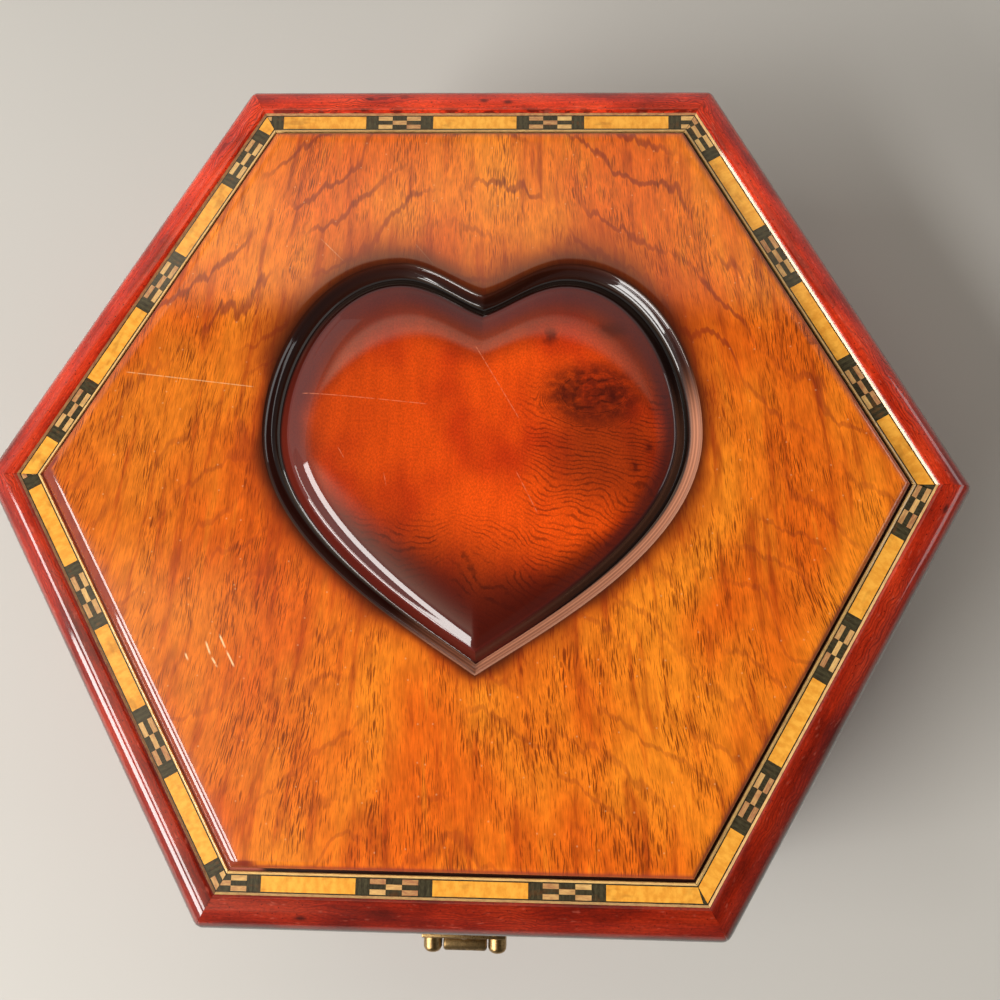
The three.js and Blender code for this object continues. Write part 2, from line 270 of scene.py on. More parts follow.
class Recipe:
    """Nodes in the making. Each method adds one node and hands back what it gives out."""

    def __init__(self, tree):
        self.tree = tree

    def node(self, kind, inputs, **settings):
        made = self.tree.nodes.new("ShaderNode" + kind)
        for setting, value in settings.items():
            setattr(made, setting, value)
        for socket, value in inputs.items():
            self.feed(made.inputs[socket], value)
        return made

    def out(self, kind, inputs, output=0, **settings):
        return Amount(self, self.node(kind, inputs, **settings).outputs[output])

    def feed(self, socket, value):
        if isinstance(value, Amount):
            self.tree.links.new(value.socket, socket)
        else:
            socket.default_value = value

    def read(self, attribute, output="Fac"):
        return self.out("Attribute", {}, output, attribute_name=attribute)

    def place(self):
        """Place on the object in millimetres."""
        return self.scaled(self.out("TexCoord", {}, "Object"), (1 / MM,) * 3)

    def split(self, vector):
        made = self.node("SeparateXYZ", {0: vector})
        return [Amount(self, output) for output in made.outputs]

    def join(self, x, y, z=0.0):
        return self.out("CombineXYZ", {0: x, 1: y, 2: z})

    def length(self, vector):
        return self.out("VectorMath", {0: vector}, "Value", operation="LENGTH")

    def sine(self, a):
        return self.out("Math", {0: a}, operation="SINE")

    def most(self, a, b):
        return self.out("Math", {0: a, 1: b}, operation="MAXIMUM")

    def scaled(self, vector, factors):
        return self.out("VectorMath", {0: vector, 1: factors}, operation="MULTIPLY")

    def noise(self, vector, factors, detail=2.0, rough=0.5):
        """Soft noise around a half. The factors are its changes in a millimetre along each axis."""
        sockets = {"Vector": self.scaled(vector, factors), "Scale": 1.0}
        return self.out("TexNoise", {**sockets, "Detail": detail, "Roughness": rough})

    def dots(self, vector, factors, flat=True):
        """Distance to the nearest of many scattered points, on the flat or in space."""
        sockets = {"Vector": self.scaled(vector, factors), "Scale": 1.0}
        return self.out("TexVoronoi", sockets, "Distance", voronoi_dimensions="2D" if flat else "3D")

    def rise(self, value, start, end, low=0.0, high=1.0):
        """Smooth rise from low at start to high at end."""
        sockets = {"Value": value, "From Min": start, "From Max": end, "To Min": low, "To Max": high}
        return self.out("MapRange", sockets, interpolation_type="SMOOTHSTEP")

    def mix(self, share, first, second):
        sockets = {0: share, COLOUR_A: first, COLOUR_B: second}
        return self.out("Mix", sockets, COLOUR_OUT, data_type="RGBA")

    def shade(self, colour, factor):
        """Colour made darker or lighter by a factor."""
        return self.out("VectorMath", {0: colour, "Scale": factor}, operation="SCALE")

    def mottle(self, colour, noise, low, high):
        """Colour made darker where a noise is low and lighter where it is high."""
        return self.shade(colour, self.rise(noise, NOISE_LOW, NOISE_HIGH, low, high))

    def spot(self, x, y, centre, radii, soft=0.5):
        """1 inside an ellipse on the flat, fading to 0 at its edge."""
        across = (x - centre[0]) * (1 / radii[0])
        along = (y - centre[1]) * (1 / radii[1])
        return self.rise(self.length(self.join(across, along)), 1.0, soft)

    def hairline(self, x, y, start, end, width):
        """1 on a thin straight scratch between two points on the flat."""
        run = Vector(end) - Vector(start)
        unit = run.normalized()
        right, up = x - start[0], y - start[1]
        along = right * unit.x + up * unit.y
        aside = right * unit.y - up * unit.x
        aside = self.out("Math", {0: aside}, operation="ABSOLUTE")
        inside = self.rise(along, 0.0, 1.0) * self.rise(along, run.length, run.length - 1.0)
        return self.rise(aside, width, width * 0.3) * inside

    def scratches(self, x, y, lines, width):
        """1 on every one of some scratches."""
        marks = 0.0
        for start, end in lines:
            marks = self.most(marks, self.hairline(x, y, start, end, width))
        return marks

# %% [markdown]
# A finish is a recipe that ends in one shader. What is the same all over the surface, such as the
# gloss of the lacquer, is a plain number on it. The clear coat is a layer of its own over the wood,
# as on the real box.

# %% Finishes


class Finish(Recipe):
    """A material: a recipe that ends in one shader."""

    def __init__(self, name, roughness=0.4, metallic=0.0, coat=0.0, coat_roughness=0.05,
                 specular=0.08):
        self.material = bpy.data.materials.new(name)
        self.material.use_nodes = True
        super().__init__(self.material.node_tree)
        self.shader = self.tree.nodes["Principled BSDF"]
        values = {"Roughness": roughness, "Metallic": metallic, "Coat Weight": coat,
                  "Coat Roughness": coat_roughness, "Specular IOR Level": specular}
        for socket, value in values.items():
            self.surface(socket, value)

    def surface(self, socket, value):
        self.feed(self.shader.inputs[socket], value)

    def relief(self, height, depth):
        """Fine relief from a height of 0 to 1, with its depth in millimetres."""
        sockets = {"Height": height, "Distance": depth * MM, "Strength": 1.0}
        self.surface("Normal", self.out("Bump", sockets))

# %% [markdown]
# The frame and the walls are veneered with burl stained red. The photo shows a blotchy red with
# streaks along each length, a few small dark knots and hair-fine curly lines, and the colour runs
# into near black at the outer edges, where the finisher sprayed a dark shade; on the crest of the
# lid's outer edge part of that black is painted shade. The grain follows each length round its
# rounded edge, so the finish reads a "grain" vector that the mesh carries: along the length, around
# its section, and which side it is. The colour is lighter towards the back and darker towards the
# front, and ragged dark patches lie along the inner edge at the back.

# %% Red burl finish
RED_LIGHT, RED_MID, RED_DEEP = tint(236, 74, 34), tint(192, 44, 16), tint(98, 18, 9)
SHADE_BLACK, WORN_PINK = tint(22, 7, 6), tint(232, 128, 104)
SIDE_STRIDE = 300.0
FRAME_KNOTS = {"back": [(-1.0, 3.0), (-6.2, 2.6), (24, 3.5)], "front_right": [(43, 3.4)],
               "front": [(-30, 4.0)]}
KNOT_SIZE = (1.6, 0.8)
INNER_PATCHES = 1.9


def red_burl(sides):
    made = Finish("red_burl", roughness=0.45, coat=1.0, coat_roughness=0.06)
    grain = made.read("grain", "Vector")
    along, around, side = made.split(grain)
    # The wood: blotches, streaks along the length, fine fibres and hair-fine curly lines
    blotches = made.noise(grain, (0.06, 0.16, 7), detail=3.0)
    streaks = made.noise(grain, (0.1, 2.2, 1), detail=3.0, rough=0.65)
    fine = made.noise(grain, (1.2, 3.6, 1), rough=0.7)
    curl = made.noise(grain, (0.16, 0.3, 1), detail=1.0)
    lines = made.sine(around * 10.0 + curl * 42.0)
    where_curly = made.rise(made.noise(grain, (0.035, 0.1, 1)), 0.5, 0.62)
    # Its colour, darker towards the front of the box and lighter towards the back
    colour = made.mix(made.rise(blotches, 0.28, 0.55, 0.2, 1.0), RED_DEEP, RED_MID)
    colour = made.mix(made.rise(blotches, 0.45, 0.75) * 0.6, colour, RED_LIGHT)
    colour = made.mottle(colour, streaks, 0.78, 1.16)
    colour = made.mottle(colour, fine, 0.74, 1.18)
    colour = made.shade(colour, made.rise(made.split(made.place())[1], -75, 80, 0.5, 1.25))
    # Dark patches along the inner edge at the back, and worn pink flecks everywhere
    ragged = made.rise(made.noise(grain, (0.25, 0.7, 1), detail=3.0, rough=0.65), 0.46, 0.6)
    on_back = made.rise(side, 0.5, 1.0) * made.rise(side, 1.5, 1.0)
    inner = ragged * on_back * made.rise(around, INNER_PATCHES, 0.4)
    colour = made.mix(inner * 0.7, colour, SHADE_BLACK)
    worn = made.rise(made.noise(grain, (0.3, 0.9, 1), rough=0.7), 0.6, 0.72)
    colour = made.mix(worn * 0.18, colour, WORN_PINK)
    # The curly lines, the knots, small specks, and the dark edges over all: sprayed, and on the lid's
    # outer crest partly painted shade
    colour = made.mix(made.rise(lines, 0.2, 0.95) * (where_curly * 0.6), colour, RED_DEEP)
    for name, knots in FRAME_KNOTS.items():
        for place, distance in knots:
            centre = (sides.index(name) * SIDE_STRIDE + place, distance)
            knot = made.spot(along, around, centre, KNOT_SIZE, 0.2)
            colour = made.mix(knot * 0.75, colour, SHADE_BLACK)
    specks = made.dots(grain, (0.4, 0.4, 1))
    colour = made.mix(made.rise(specks, 0.07, 0.03), colour, RED_DEEP)
    colour = made.mix(made.read("edge_shade"), colour, SHADE_BLACK)
    made.surface("Base Color", colour)
    made.relief(made.noise(grain, (0.5, 0.5, 1), detail=1.0), 0.02)
    return made.material


SIDES = {"back_right": 30, "back": 90, "back_left": 150,
         "front_left": 210, "front": 270, "front_right": 330}
SIDE_NAMES = list(SIDES)
red_finish = red_burl(SIDE_NAMES)
print("red burl nodes", len(red_finish.node_tree.nodes))

# %% [markdown]
# The frame of the lid and the body below are each six lengths of the same section, mitred at the
# corners. A section is drawn once as pairs of inset and height and is carried along each side, from
# the middle of one rounded corner to the middle of the next. The ends are cut on the mitre, a hair
# short, which leaves the faint line that the photo shows at every corner.

# %% The mitred lengths of the case
CORNER_RADIUS = 2.5
ARRIS = 0.2
ARRIS_TURN = math.radians(42)
RAIL_ARRIS, WALL_ARRIS = 1.2, 0.4
MITRE_HAIR = 0.035
CORNER_STEPS = 8
STRAIGHT_STEPS = 30
ROUND_STEPS = 12
HALF_TURN_OF_SIDE = math.pi / 6
LID_EDGE_RADIUS = 5.0
SEAM_RADIUS = 0.6
FOOT_RADIUS = 1.5
CREST_START, CREST_REACH = 5.2, 2.6
CREST_SPRAY_AND_PAINTED_SHADE, EDGE_SHADE, CORNER_SHADE, FACE_SHADE = 0.95, 0.92, 0.9, 0.12


def side_axes(degrees):
    turn = math.radians(degrees)
    return np.array([math.cos(turn), math.sin(turn)]), np.array([-math.sin(turn), math.cos(turn)])


def side_points(distance, radius, degrees):
    """Points of one side of a rounded hexagon, anticlockwise from mitre to mitre."""
    outward, along = side_axes(degrees)
    reach = (distance - radius) * math.tan(HALF_TURN_OF_SIDE)
    points = []
    for end in (-1, 1):
        centre = (distance - radius) * outward + end * reach * along
        turns = np.linspace(min(end, 0), max(end, 0), CORNER_STEPS + 1)
        for turn in turns * HALF_TURN_OF_SIDE:
            points.append(centre + radius * (math.cos(turn) * outward + math.sin(turn) * along))
    start, finish = points[CORNER_STEPS], points[CORNER_STEPS + 1]
    straight = [start + (finish - start) * k / STRAIGHT_STEPS for k in range(1, STRAIGHT_STEPS)]
    points = points[:CORNER_STEPS + 1] + straight + points[CORNER_STEPS + 1:]
    points[0] = points[0] + MITRE_HAIR * along
    points[-1] = points[-1] - MITRE_HAIR * along
    return np.array(points)

# %% [markdown]
# The section of a length could be copied from a drawing. Here it is worked out from the few radii
# that a router would be set to: a small one at the seam, a larger one at the foot, and a wide one on
# the outer edge of the lid.

# %% Sections of the case


def quarter(radius, steps):
    """Quarter round as inset and rise, from the outer face to the top."""
    turns = np.linspace(0, math.pi / 2, steps + 1)
    return [(radius * (1 - math.cos(t)), radius * math.sin(t)) for t in turns]


def case_section(low, high, low_radius, high_radius, wall, arris):
    """Section as (inset, height), from the inner arris on top, outwards, down and back."""
    turns = np.linspace(ARRIS_TURN, 0, ROUND_STEPS // 2 + 1)
    sweep = math.sin(ARRIS_TURN)
    top = [(wall - arris * (sweep - math.sin(t)), high - arris * (1 - math.cos(t))) for t in turns]
    top.append(((top[-1][0] + high_radius) / 2, high))
    rounded = reversed(quarter(high_radius, ROUND_STEPS))
    crest = [(inset, high - high_radius + rise) for inset, rise in rounded]
    face = [(0.0, low + (high - low) * share) for share in (0.75, 0.6, 0.45, 0.3, 0.2)]
    face = [point for point in face if low + low_radius < point[1] < high - high_radius]
    foot = [(inset, low + low_radius - rise) for inset, rise in quarter(low_radius, ROUND_STEPS // 2)]
    inside = [(wall - ARRIS, low), (wall, low + ARRIS), (wall, (low + high) / 2)]
    return np.array(top + crest + face + foot + inside)


def case_length(name, section, degrees, index, shade):
    """One mitred length of the case with its grain and its sprayed edges."""
    steps = np.linalg.norm(np.diff(section, axis=0), axis=1)
    around = np.concatenate([[0], np.cumsum(steps)])
    columns = []
    for inset, height in section:
        distance = outer_apothem - inset
        plan = side_points(distance, max(CORNER_RADIUS - inset, ARRIS / 4), degrees)
        columns.append(np.column_stack([plan, np.full(len(plan), height)]))
    rings = np.array(columns).transpose(1, 0, 2)
    mesh = loft(name, rings)
    along = side_axes(degrees)[1]
    flat = rings.reshape(-1, 3)
    run = flat[:, :2] @ along
    rounds = np.tile(around, len(rings))
    grain = np.column_stack([run + index * SIDE_STRIDE, rounds, np.full(len(run), index)])
    note(mesh, "grain", grain)
    note(mesh, "edge_shade", shade(run, rounds, flat))
    return mesh

# %% [markdown]
# The finisher darkened the edges with a spray gun. A picture could be painted for that, but one
# number for each point of the mesh is enough, because the shade is soft: 0 is bare red and 1 is
# black. On the crest of the lid's rounded outer edge the black is partly painted shade, which keeps
# the lid's outline dark.

# %% Sprayed edges


def burst(height, low, high, reach):
    """1 at the low and high edges of a face, fading over the reach."""
    return np.maximum(ease(1 - (height - low) / reach), ease(1 - (high - height) / reach))


def corner_burst(run, reach):
    """Dark at both mitres of a length, fading over the reach."""
    corner = outer_apothem * math.tan(HALF_TURN_OF_SIDE) - np.abs(run)
    return ease(1 - (corner - 1) / reach) * CORNER_SHADE


def rail_shade(run, rounds, flat):
    height = flat[:, 2]
    # On the outer crest the black is partly sprayed and partly painted shade along the lid's outline
    crest = ease((rounds - CREST_START) / CREST_REACH) * CREST_SPRAY_AND_PAINTED_SHADE
    face_top = lid_top - LID_EDGE_RADIUS
    edges = burst(height, lid_base, face_top + 1, 6.5) * EDGE_SHADE
    face = np.maximum(FACE_SHADE, np.maximum(edges, corner_burst(run, 7)))
    return np.where(height < face_top, face, crest)


def wall_shade(run, rounds, flat):
    return np.maximum(burst(flat[:, 2], 0, wall_high[2], 9) * EDGE_SHADE, corner_burst(run, 9))

# %% [markdown]
# Now all twelve lengths are made, a rail and a wall for each side. They could be one length turned
# six times, but each one reads its own stretch of the grain, so that no two look alike.

# %% Rails and walls
wall_thickness = outer_apothem - inner_apothem
rail_section = case_section(lid_base, lid_top, SEAM_RADIUS, LID_EDGE_RADIUS, wall_thickness,
                            RAIL_ARRIS)
wall_section = case_section(0, wall_high[2], FOOT_RADIUS, SEAM_RADIUS, wall_thickness,
                            WALL_ARRIS)
for index, (side, degrees) in enumerate(SIDES.items()):
    rail = case_length("red_rail_" + side, rail_section, degrees, index, rail_shade)
    finish_piece("red_rail_" + side, rail, "lid", [red_finish], ["lid_rail_" + side])
    wall = case_length("red_wall_" + side, wall_section, degrees, index, wall_shade)
    finish_piece("red_wall_" + side, wall, "box", [red_finish], ["wall_" + side])
print("six rails and six walls,", len(rail.vertices), "points in a rail")

# %% [markdown]
# The heart is drawn with three curves on each side, from the cleft to the tip. The moat's edge and
# the pillow's edge are two such outlines that share their points in number and order, so a ring
# between them is a plain blend. The same rings carve the moat into the panel and raise the pillow
# inside it.

# %% Outlines of the heart
HEART_HALF = 44.2
HEART_PLACE = np.array([2.0, 0.0])
HEART_STEPS = 44
MOAT_EDGE = [(0, 0.864),
             (0.113, 0.896), (0.249, 1.023), (0.396, 1.023),
             (0.747, 1.023), (1, 0.633), (1, 0.226),
             (1, -0.294), (0.317, -0.665), (0, -0.878)]
PILLOW_EDGE = [(0, 0.747),
               (0.113, 0.783), (0.238, 0.896), (0.385, 0.896),
               (0.656, 0.896), (0.871, 0.566), (0.871, 0.215),
               (0.871, -0.204), (0.294, -0.577), (0, -0.774)]
HEART_MIDDLE = np.array([0, 0.18])


def heart_outline(handles):
    """Whole outline from its right half, anticlockwise from the cleft."""
    handles = np.array(handles, float)
    right = []
    for first in range(0, len(handles) - 1, 3):
        a, b, c, d = handles[first:first + 4]
        for t in np.arange(HEART_STEPS) / HEART_STEPS:
            s = 1 - t
            right.append(s ** 3 * a + 3 * s * s * t * b + 3 * s * t * t * c + t ** 3 * d)
    right = np.array(right)
    left = right[1:] * (-1, 1)
    return np.vstack([right[:1], left, handles[-1:], right[:0:-1]])


moat_edge = heart_outline(MOAT_EDGE)
pillow_edge = heart_outline(PILLOW_EDGE)


def on_lid(outline, height):
    """Outline at a height above the field, in millimetres."""
    plan = HEART_PLACE + outline * HEART_HALF
    return np.column_stack([plan, np.full(len(plan), field_top + height)])


def heart_ring(share, height):
    return on_lid(moat_edge + (pillow_edge - moat_edge) * share, height)


def distance_to(outline, points):
    """Distance from each point to a closed outline, in millimetres."""
    plan = HEART_PLACE + outline * HEART_HALF
    ahead = np.roll(plan, -1, axis=0) - plan
    nearest = np.full(len(points), 1e9)
    for start, run in zip(plan, ahead):
        away = points[:, :2] - start
        share = np.clip(away @ run / max(run @ run, 1e-9), 0, 1)
        nearest = np.minimum(nearest, np.linalg.norm(away - share[:, None] * run, axis=1))
    return nearest


print("points in the heart's outline", len(moat_edge))

# %% [markdown]
# The panel's veneer is the warm orange-brown that fills most of the picture. It has dark pores, long
# and short, that run from back to front and fan out a little to the sides, soft light and dark
# streaks, and jagged reddish figure lines. Around the moat the finisher sprayed a dark shade. The
# mesh carries the distance to the moat for that. The pores are stretched cells of a cell noise,
# because their length and spacing are then real sizes. The underside is plain wood.

# %% Panel veneer finish
GOLD_BROWN, WARM_BROWN, RED_BROWN = tint(246, 138, 32), tint(226, 100, 18), tint(164, 56, 12)
PORE_BROWN, FIGURE_RED = tint(112, 44, 8), tint(122, 38, 24)
BURST_AND_SHADOW_BROWN, SCRATCH_PALE = tint(40, 14, 7), tint(255, 214, 160)
STRIPE_TAN, EDGE_RED, GROOVE_PINK = tint(200, 134, 104), tint(150, 60, 40), tint(176, 90, 70)
WALL_RED = tint(118, 38, 28)
FAN = 0.0025
ARCH_ROUND, FIGURE_TURNS = 14.0, 0.56
FINE_SCRATCHES = [((-72, 21.4), (-44.6, 18.4)), ((-12.7, 50), (-7.2, 43.6)),
                  ((-32.8, 51.1), (-27.3, 45.7))]
DEEP_SCRATCHES = [((-51.2, -33.3), (-49.9, -36.3)), ((-49.9, -36.3), (-48.3, -38.7)),
                  ((-48.6, -31.9), (-47, -35)), ((-47, -35), (-45, -38.6)),
                  ((-55.2, -35.5), (-54.2, -37.5))]
FINE_WIDTH, DEEP_WIDTH = 0.14, 0.26
DENTS = [((69.0, 28.6), (1.3, 0.5)), ((70.4, 27.2), (0.4, 1.4)), ((68.2, 30.2), (0.8, 0.3))]


def fanned_grain(made, spread):
    """Grain coordinates that fan out to the sides and wander a little, in millimetres."""
    x, y, z = made.split(made.place())
    wander = made.noise(made.join(x, y), (1 / 45, 1 / 70, 1), detail=1.0)
    across = x * (1.0 + y * FAN) + wander * spread
    return x, y, z, made.join(across, y, z)


def panel_wood(made, x, y, flat, grain):
    """Zones, streaks, ripples and fibres, redder towards the west."""
    zones = made.noise(flat, (1 / 28, 1 / 46, 0))
    streaks = made.noise(grain, (0.34, 0.035, 0), detail=3.0, rough=0.62)
    ripples = made.noise(grain, (0.5, 0.2, 0), rough=0.6)
    fibres = made.noise(grain, (3.4, 0.22, 0), rough=0.65)
    colour = made.mix(made.rise(zones, 0.36, 0.64), WARM_BROWN, GOLD_BROWN)
    colour = made.mix(made.rise(streaks, 0.5, 0.7, 0, 0.7), colour, RED_BROWN)
    colour = made.mix(made.rise(streaks, 0.44, 0.28, 0, 0.5), colour, GOLD_BROWN)
    west = made.rise(x, -5, -75, 0.0, 0.36) * made.rise(y, 50, 25)
    colour = made.mix(west, colour, RED_BROWN)
    colour = made.mottle(colour, ripples, 0.84, 1.12)
    colour = made.shade(colour, made.rise(fibres, 0.25, 0.75, 0.82, 1.14))
    return colour, zones, fibres

# %% [markdown]
# The reddish figure lines are levels of one height. They arch across the panel, are jagged by a
# noise that is stretched along the grain, and come and go. The pores lie on a grain that sways.

# %% Figure and pores of the panel


def panel_figure(made, colour, x, y, flat, grain):
    span = made.length(made.join(x, ARCH_ROUND))
    bend = made.noise(flat, (1 / 18, 1 / 18, 0), detail=1.0) * 22.0
    jag = made.noise(grain, (0.45, 0.05, 0), rough=0.6) * 7.0
    contour = made.sine((y + span + bend + jag) * FIGURE_TURNS)
    patchy = made.rise(made.noise(flat, (1 / 22, 1 / 22, 0), detail=1.0), 0.4, 0.58)
    patchy = patchy * made.rise(y, 0.0, 35.0, 0.3, 0.66)
    return made.mix(made.rise(contour, 0.84, 0.99) * patchy, colour, FIGURE_RED)


def panel_pores(made, colour, grain):
    across, along = made.split(grain)[:2]
    density = made.rise(made.noise(grain, (0.12, 0.05, 0), rough=0.6), 0.36, 0.66)
    sway = made.noise(grain, (0.5, 0.07, 0)) * 1.6
    swayed = made.join(across + sway, along)
    long_pores = made.dots(swayed, (2.9, 0.17, 0)) - (0.1 + density * 0.16)
    short_pores = made.dots(swayed, (4.4, 0.4, 0)) - (0.04 + density * 0.2)
    pores = made.most(made.rise(long_pores, 0.09, -0.09), made.rise(short_pores, 0.08, -0.08) * 0.6)
    return made.mix(pores * (0.55 + density * 0.35), colour, PORE_BROWN)

# %% [markdown]
# The lacquer has a few named scratches, small dents near the right corner and a little dust. The dark
# shade round the moat reaches as far as a noise says. The moat's wall has pale tan stripes on its
# lower right.

# %% Marks of use and the sprayed burst


def panel_marks(made, colour, x, y, flat):
    fine = made.scratches(x, y, FINE_SCRATCHES, FINE_WIDTH) * 0.4
    deep = made.scratches(x, y, DEEP_SCRATCHES, DEEP_WIDTH) * 0.85
    ragged = made.rise(made.noise(flat, (0.8, 0.8, 0)), 0.35, 0.5, 0.3, 1.0)
    marks = made.most(fine, deep) * ragged
    colour = made.mix(marks, colour, SCRATCH_PALE)
    dust = made.rise(made.dots(flat, (0.13, 0.13, 0)), 0.03, 0.015)
    colour = made.mix(dust * 0.2, colour, SCRATCH_PALE)
    for centre, radii in DENTS:
        colour = made.mix(made.spot(x, y, centre, radii, 0.2) * 0.6, colour, PORE_BROWN)
    return colour, marks


def panel_burst(made, colour, x, y, flat):
    moat = made.read("from_moat")
    reach = made.rise(made.noise(flat, (0.06, 0.06, 0)), NOISE_LOW, NOISE_HIGH, 3.0, 8.0)
    reach = reach + made.rise(y, 12.0, 38.0, 0.0, 6.0)
    sprayed = moat / reach
    colour = made.mix(made.rise(sprayed, 1.3, 0.0) * 0.8, colour, RED_BROWN)
    colour = made.mix(made.rise(sprayed, 0.62, -0.1), colour, BURST_AND_SHADOW_BROWN)
    stripes = made.rise(made.sine(moat * 11.0), -0.6, 0.8, 0.6, 0.95)
    lower_right = made.rise(x - y, 10.0, 34.0) * made.rise(y, 27.0, 10.0)
    wall = made.rise(moat, -1.9, -1.3) * made.rise(moat, 0.55, 0.0)
    return made.mix(stripes * lower_right * wall, colour, STRIPE_TAN)

# %% [markdown]
# The rounded edge of the field is redder than the field, and the groove beside it is painted nearly
# black as shadow. On the front left side the edge is a deeper red right up to its lip, and the
# groove is pink, without the painted shadow.

# %% The whole finish of the panel


def panel_edges(made, colour, x, y, z, plain):
    under = made.rise(z, inlay_top - 1.0, inlay_top - 1.3)
    colour = made.mix(under, colour, plain)
    drop = made.read("edge_drop")
    front_left = made.rise(x * 0.866 + y * 0.5, -70.0, -72.0)
    edge = made.mix(front_left, EDGE_RED, WALL_RED)
    lip = front_left * made.rise(drop, 0.0, 0.12, 0.0, 0.85)
    colour = made.mix(made.most(lip, made.rise(drop, 0.1, 0.6, 0.0, 0.8)), colour, edge)
    # Painted shadow: the groove goes nearly black, except on the front left, where it is pink
    groove = made.mix(front_left, BURST_AND_SHADOW_BROWN, GROOVE_PINK)
    return made.mix(made.rise(drop, 1.6, 2.1), colour, groove)


def panel_veneer():
    made = Finish("panel_veneer", roughness=0.42, coat=1.0, coat_roughness=0.045)
    x, y, z, grain = fanned_grain(made, 10.0)
    flat = made.join(x, y)
    colour, zones, fibres = panel_wood(made, x, y, flat, grain)
    colour = panel_figure(made, colour, x, y, flat, grain)
    colour = panel_pores(made, colour, grain)
    colour, marks = panel_marks(made, colour, x, y, flat)
    colour = panel_burst(made, colour, x, y, flat)
    plain = made.shade(made.mix(zones, RED_BROWN, WARM_BROWN), made.rise(fibres, 0, 1, 0.6, 1))
    colour = panel_edges(made, colour, x, y, z, plain)
    made.surface("Base Color", colour)
    made.relief(made.noise(flat, (0.25, 0.25, 0), detail=1.0) - marks * 0.5, 0.02)
    return made.material


panel_finish = panel_veneer()
print("panel veneer nodes", len(panel_finish.node_tree.nodes))

# %% [markdown]
# The panel is one board: it lies in a rebate under the inlay, rises out of it with a rounded edge,
# and has the moat cut into its face. Every ring of the loft has the same number of points, each on
# its own ray from the heart's middle, so hexagon rings outside can turn into heart rings inside. Six
# of the rays go to the corners.

# %% The panel with its moat
FOOT_CLEARANCE = 0.05
FIELD_SIDE = 76.0
FRONT_LEFT_TRIM = 1.2
FIELD_EDGE = [(2.4, 0), (1.75, -0.04), (1.25, -0.16), (0.82, -0.37), (0.46, -0.68),
              (0.18, -1.1), (0.03, -1.7), (0, -2.5)]
REBATE_DEPTH = 0.9
GROOVE_FLOOR = inlay_top - 0.5
MOAT_DEPTH = 1.95
MOAT_WALL = [(0.42, -1), (0.34, -0.94), (0.27, -0.83), (0.2, -0.68), (0.13, -0.48),
             (0.06, -0.25), (0, -0.1), (-0.08, -0.03), (-0.2, 0)]
MOUTH_RINGS = 5
FLAT_RINGS = 34


def hexagon_corners(distances):
    """Corners of a hexagon with its sides at these distances, each at the end of its side."""
    corners = []
    angles = [math.radians(degrees) for degrees in SIDES.values()]
    for i, angle in enumerate(angles):
        following = (i + 1) % len(angles)
        rows = [(math.cos(a), math.sin(a)) for a in (angle, angles[following])]
        corners.append(np.linalg.solve(rows, (distances[i], distances[following])))
    return np.array(corners)


def field_distances(inset):
    widen = 1 + FRONT_LEFT_TRIM / FIELD_EDGE[0][0]
    return [FIELD_SIDE - inset * (widen if side == "front_left" else 1) for side in SIDES]

# %% [markdown]
# The rays start at the heart's middle. Every point of the moat's edge has one, and every corner of
# the field has one more, so that the corners stay sharp on each ring.

# %% Rays of the panel
mouth = HEART_PLACE + moat_edge * HEART_HALF
middle = HEART_PLACE + HEART_MIDDLE * HEART_HALF
bearing = np.unwrap(np.arctan2(*(mouth - middle).T[::-1]))
count = len(mouth)
field_corners = hexagon_corners(field_distances(FIELD_EDGE[0][0]))
corner_bearing = np.arctan2(*(field_corners - middle).T[::-1])
corner_bearing = bearing[0] + (corner_bearing - bearing[0]) % (2 * math.pi)
closed_bearing = np.append(bearing, bearing[0] + 2 * math.pi)
corner_steps = np.interp(corner_bearing, closed_bearing, np.arange(count + 1))
rays = np.unique(np.round(np.concatenate([np.arange(count), corner_steps]), 6))


def at_rays(ring):
    """A ring of the heart, read at the rays."""
    closed = np.vstack([ring, ring[:1]])
    steps = np.arange(count + 1)
    return np.column_stack([np.interp(rays, steps, closed[:, axis]) for axis in range(3)])


def hexagon_at_rays(distances, height):
    """A hexagon read at the rays, with the same ray at each corner whatever its size."""
    corners = hexagon_corners(distances)
    order = np.argsort(corner_steps)
    knots = np.concatenate([corner_steps[order], [corner_steps[order[0]] + count]])
    places = np.vstack([corners[order], corners[order[0]]])
    base = field_corners[order]
    plan = []
    for ray in rays:
        step = ray if ray >= knots[0] else ray + count
        i = min(np.searchsorted(knots, step, side="right") - 1, len(order) - 1)
        direction = np.array([math.cos(ray_bearing(ray)), math.sin(ray_bearing(ray))])
        start, run = base[i], base[(i + 1) % len(order)] - base[i]
        share = np.linalg.solve(np.column_stack([run, -direction]), middle - start)[0]
        plan.append(places[i] + (places[i + 1] - places[i]) * np.clip(share, 0, 1))
    return np.column_stack([plan, np.full(len(plan), height)])


def ray_bearing(ray):
    return np.interp(ray, np.arange(count + 1), closed_bearing)

# %% [markdown]
# The rings go up the edge of the board, in over the field and down the moat's wall. A boolean cut
# could carve the moat, but it leaves long thin faces that spoil the gloss, and rings that lead into
# each other keep it smooth.

# %% Building the panel


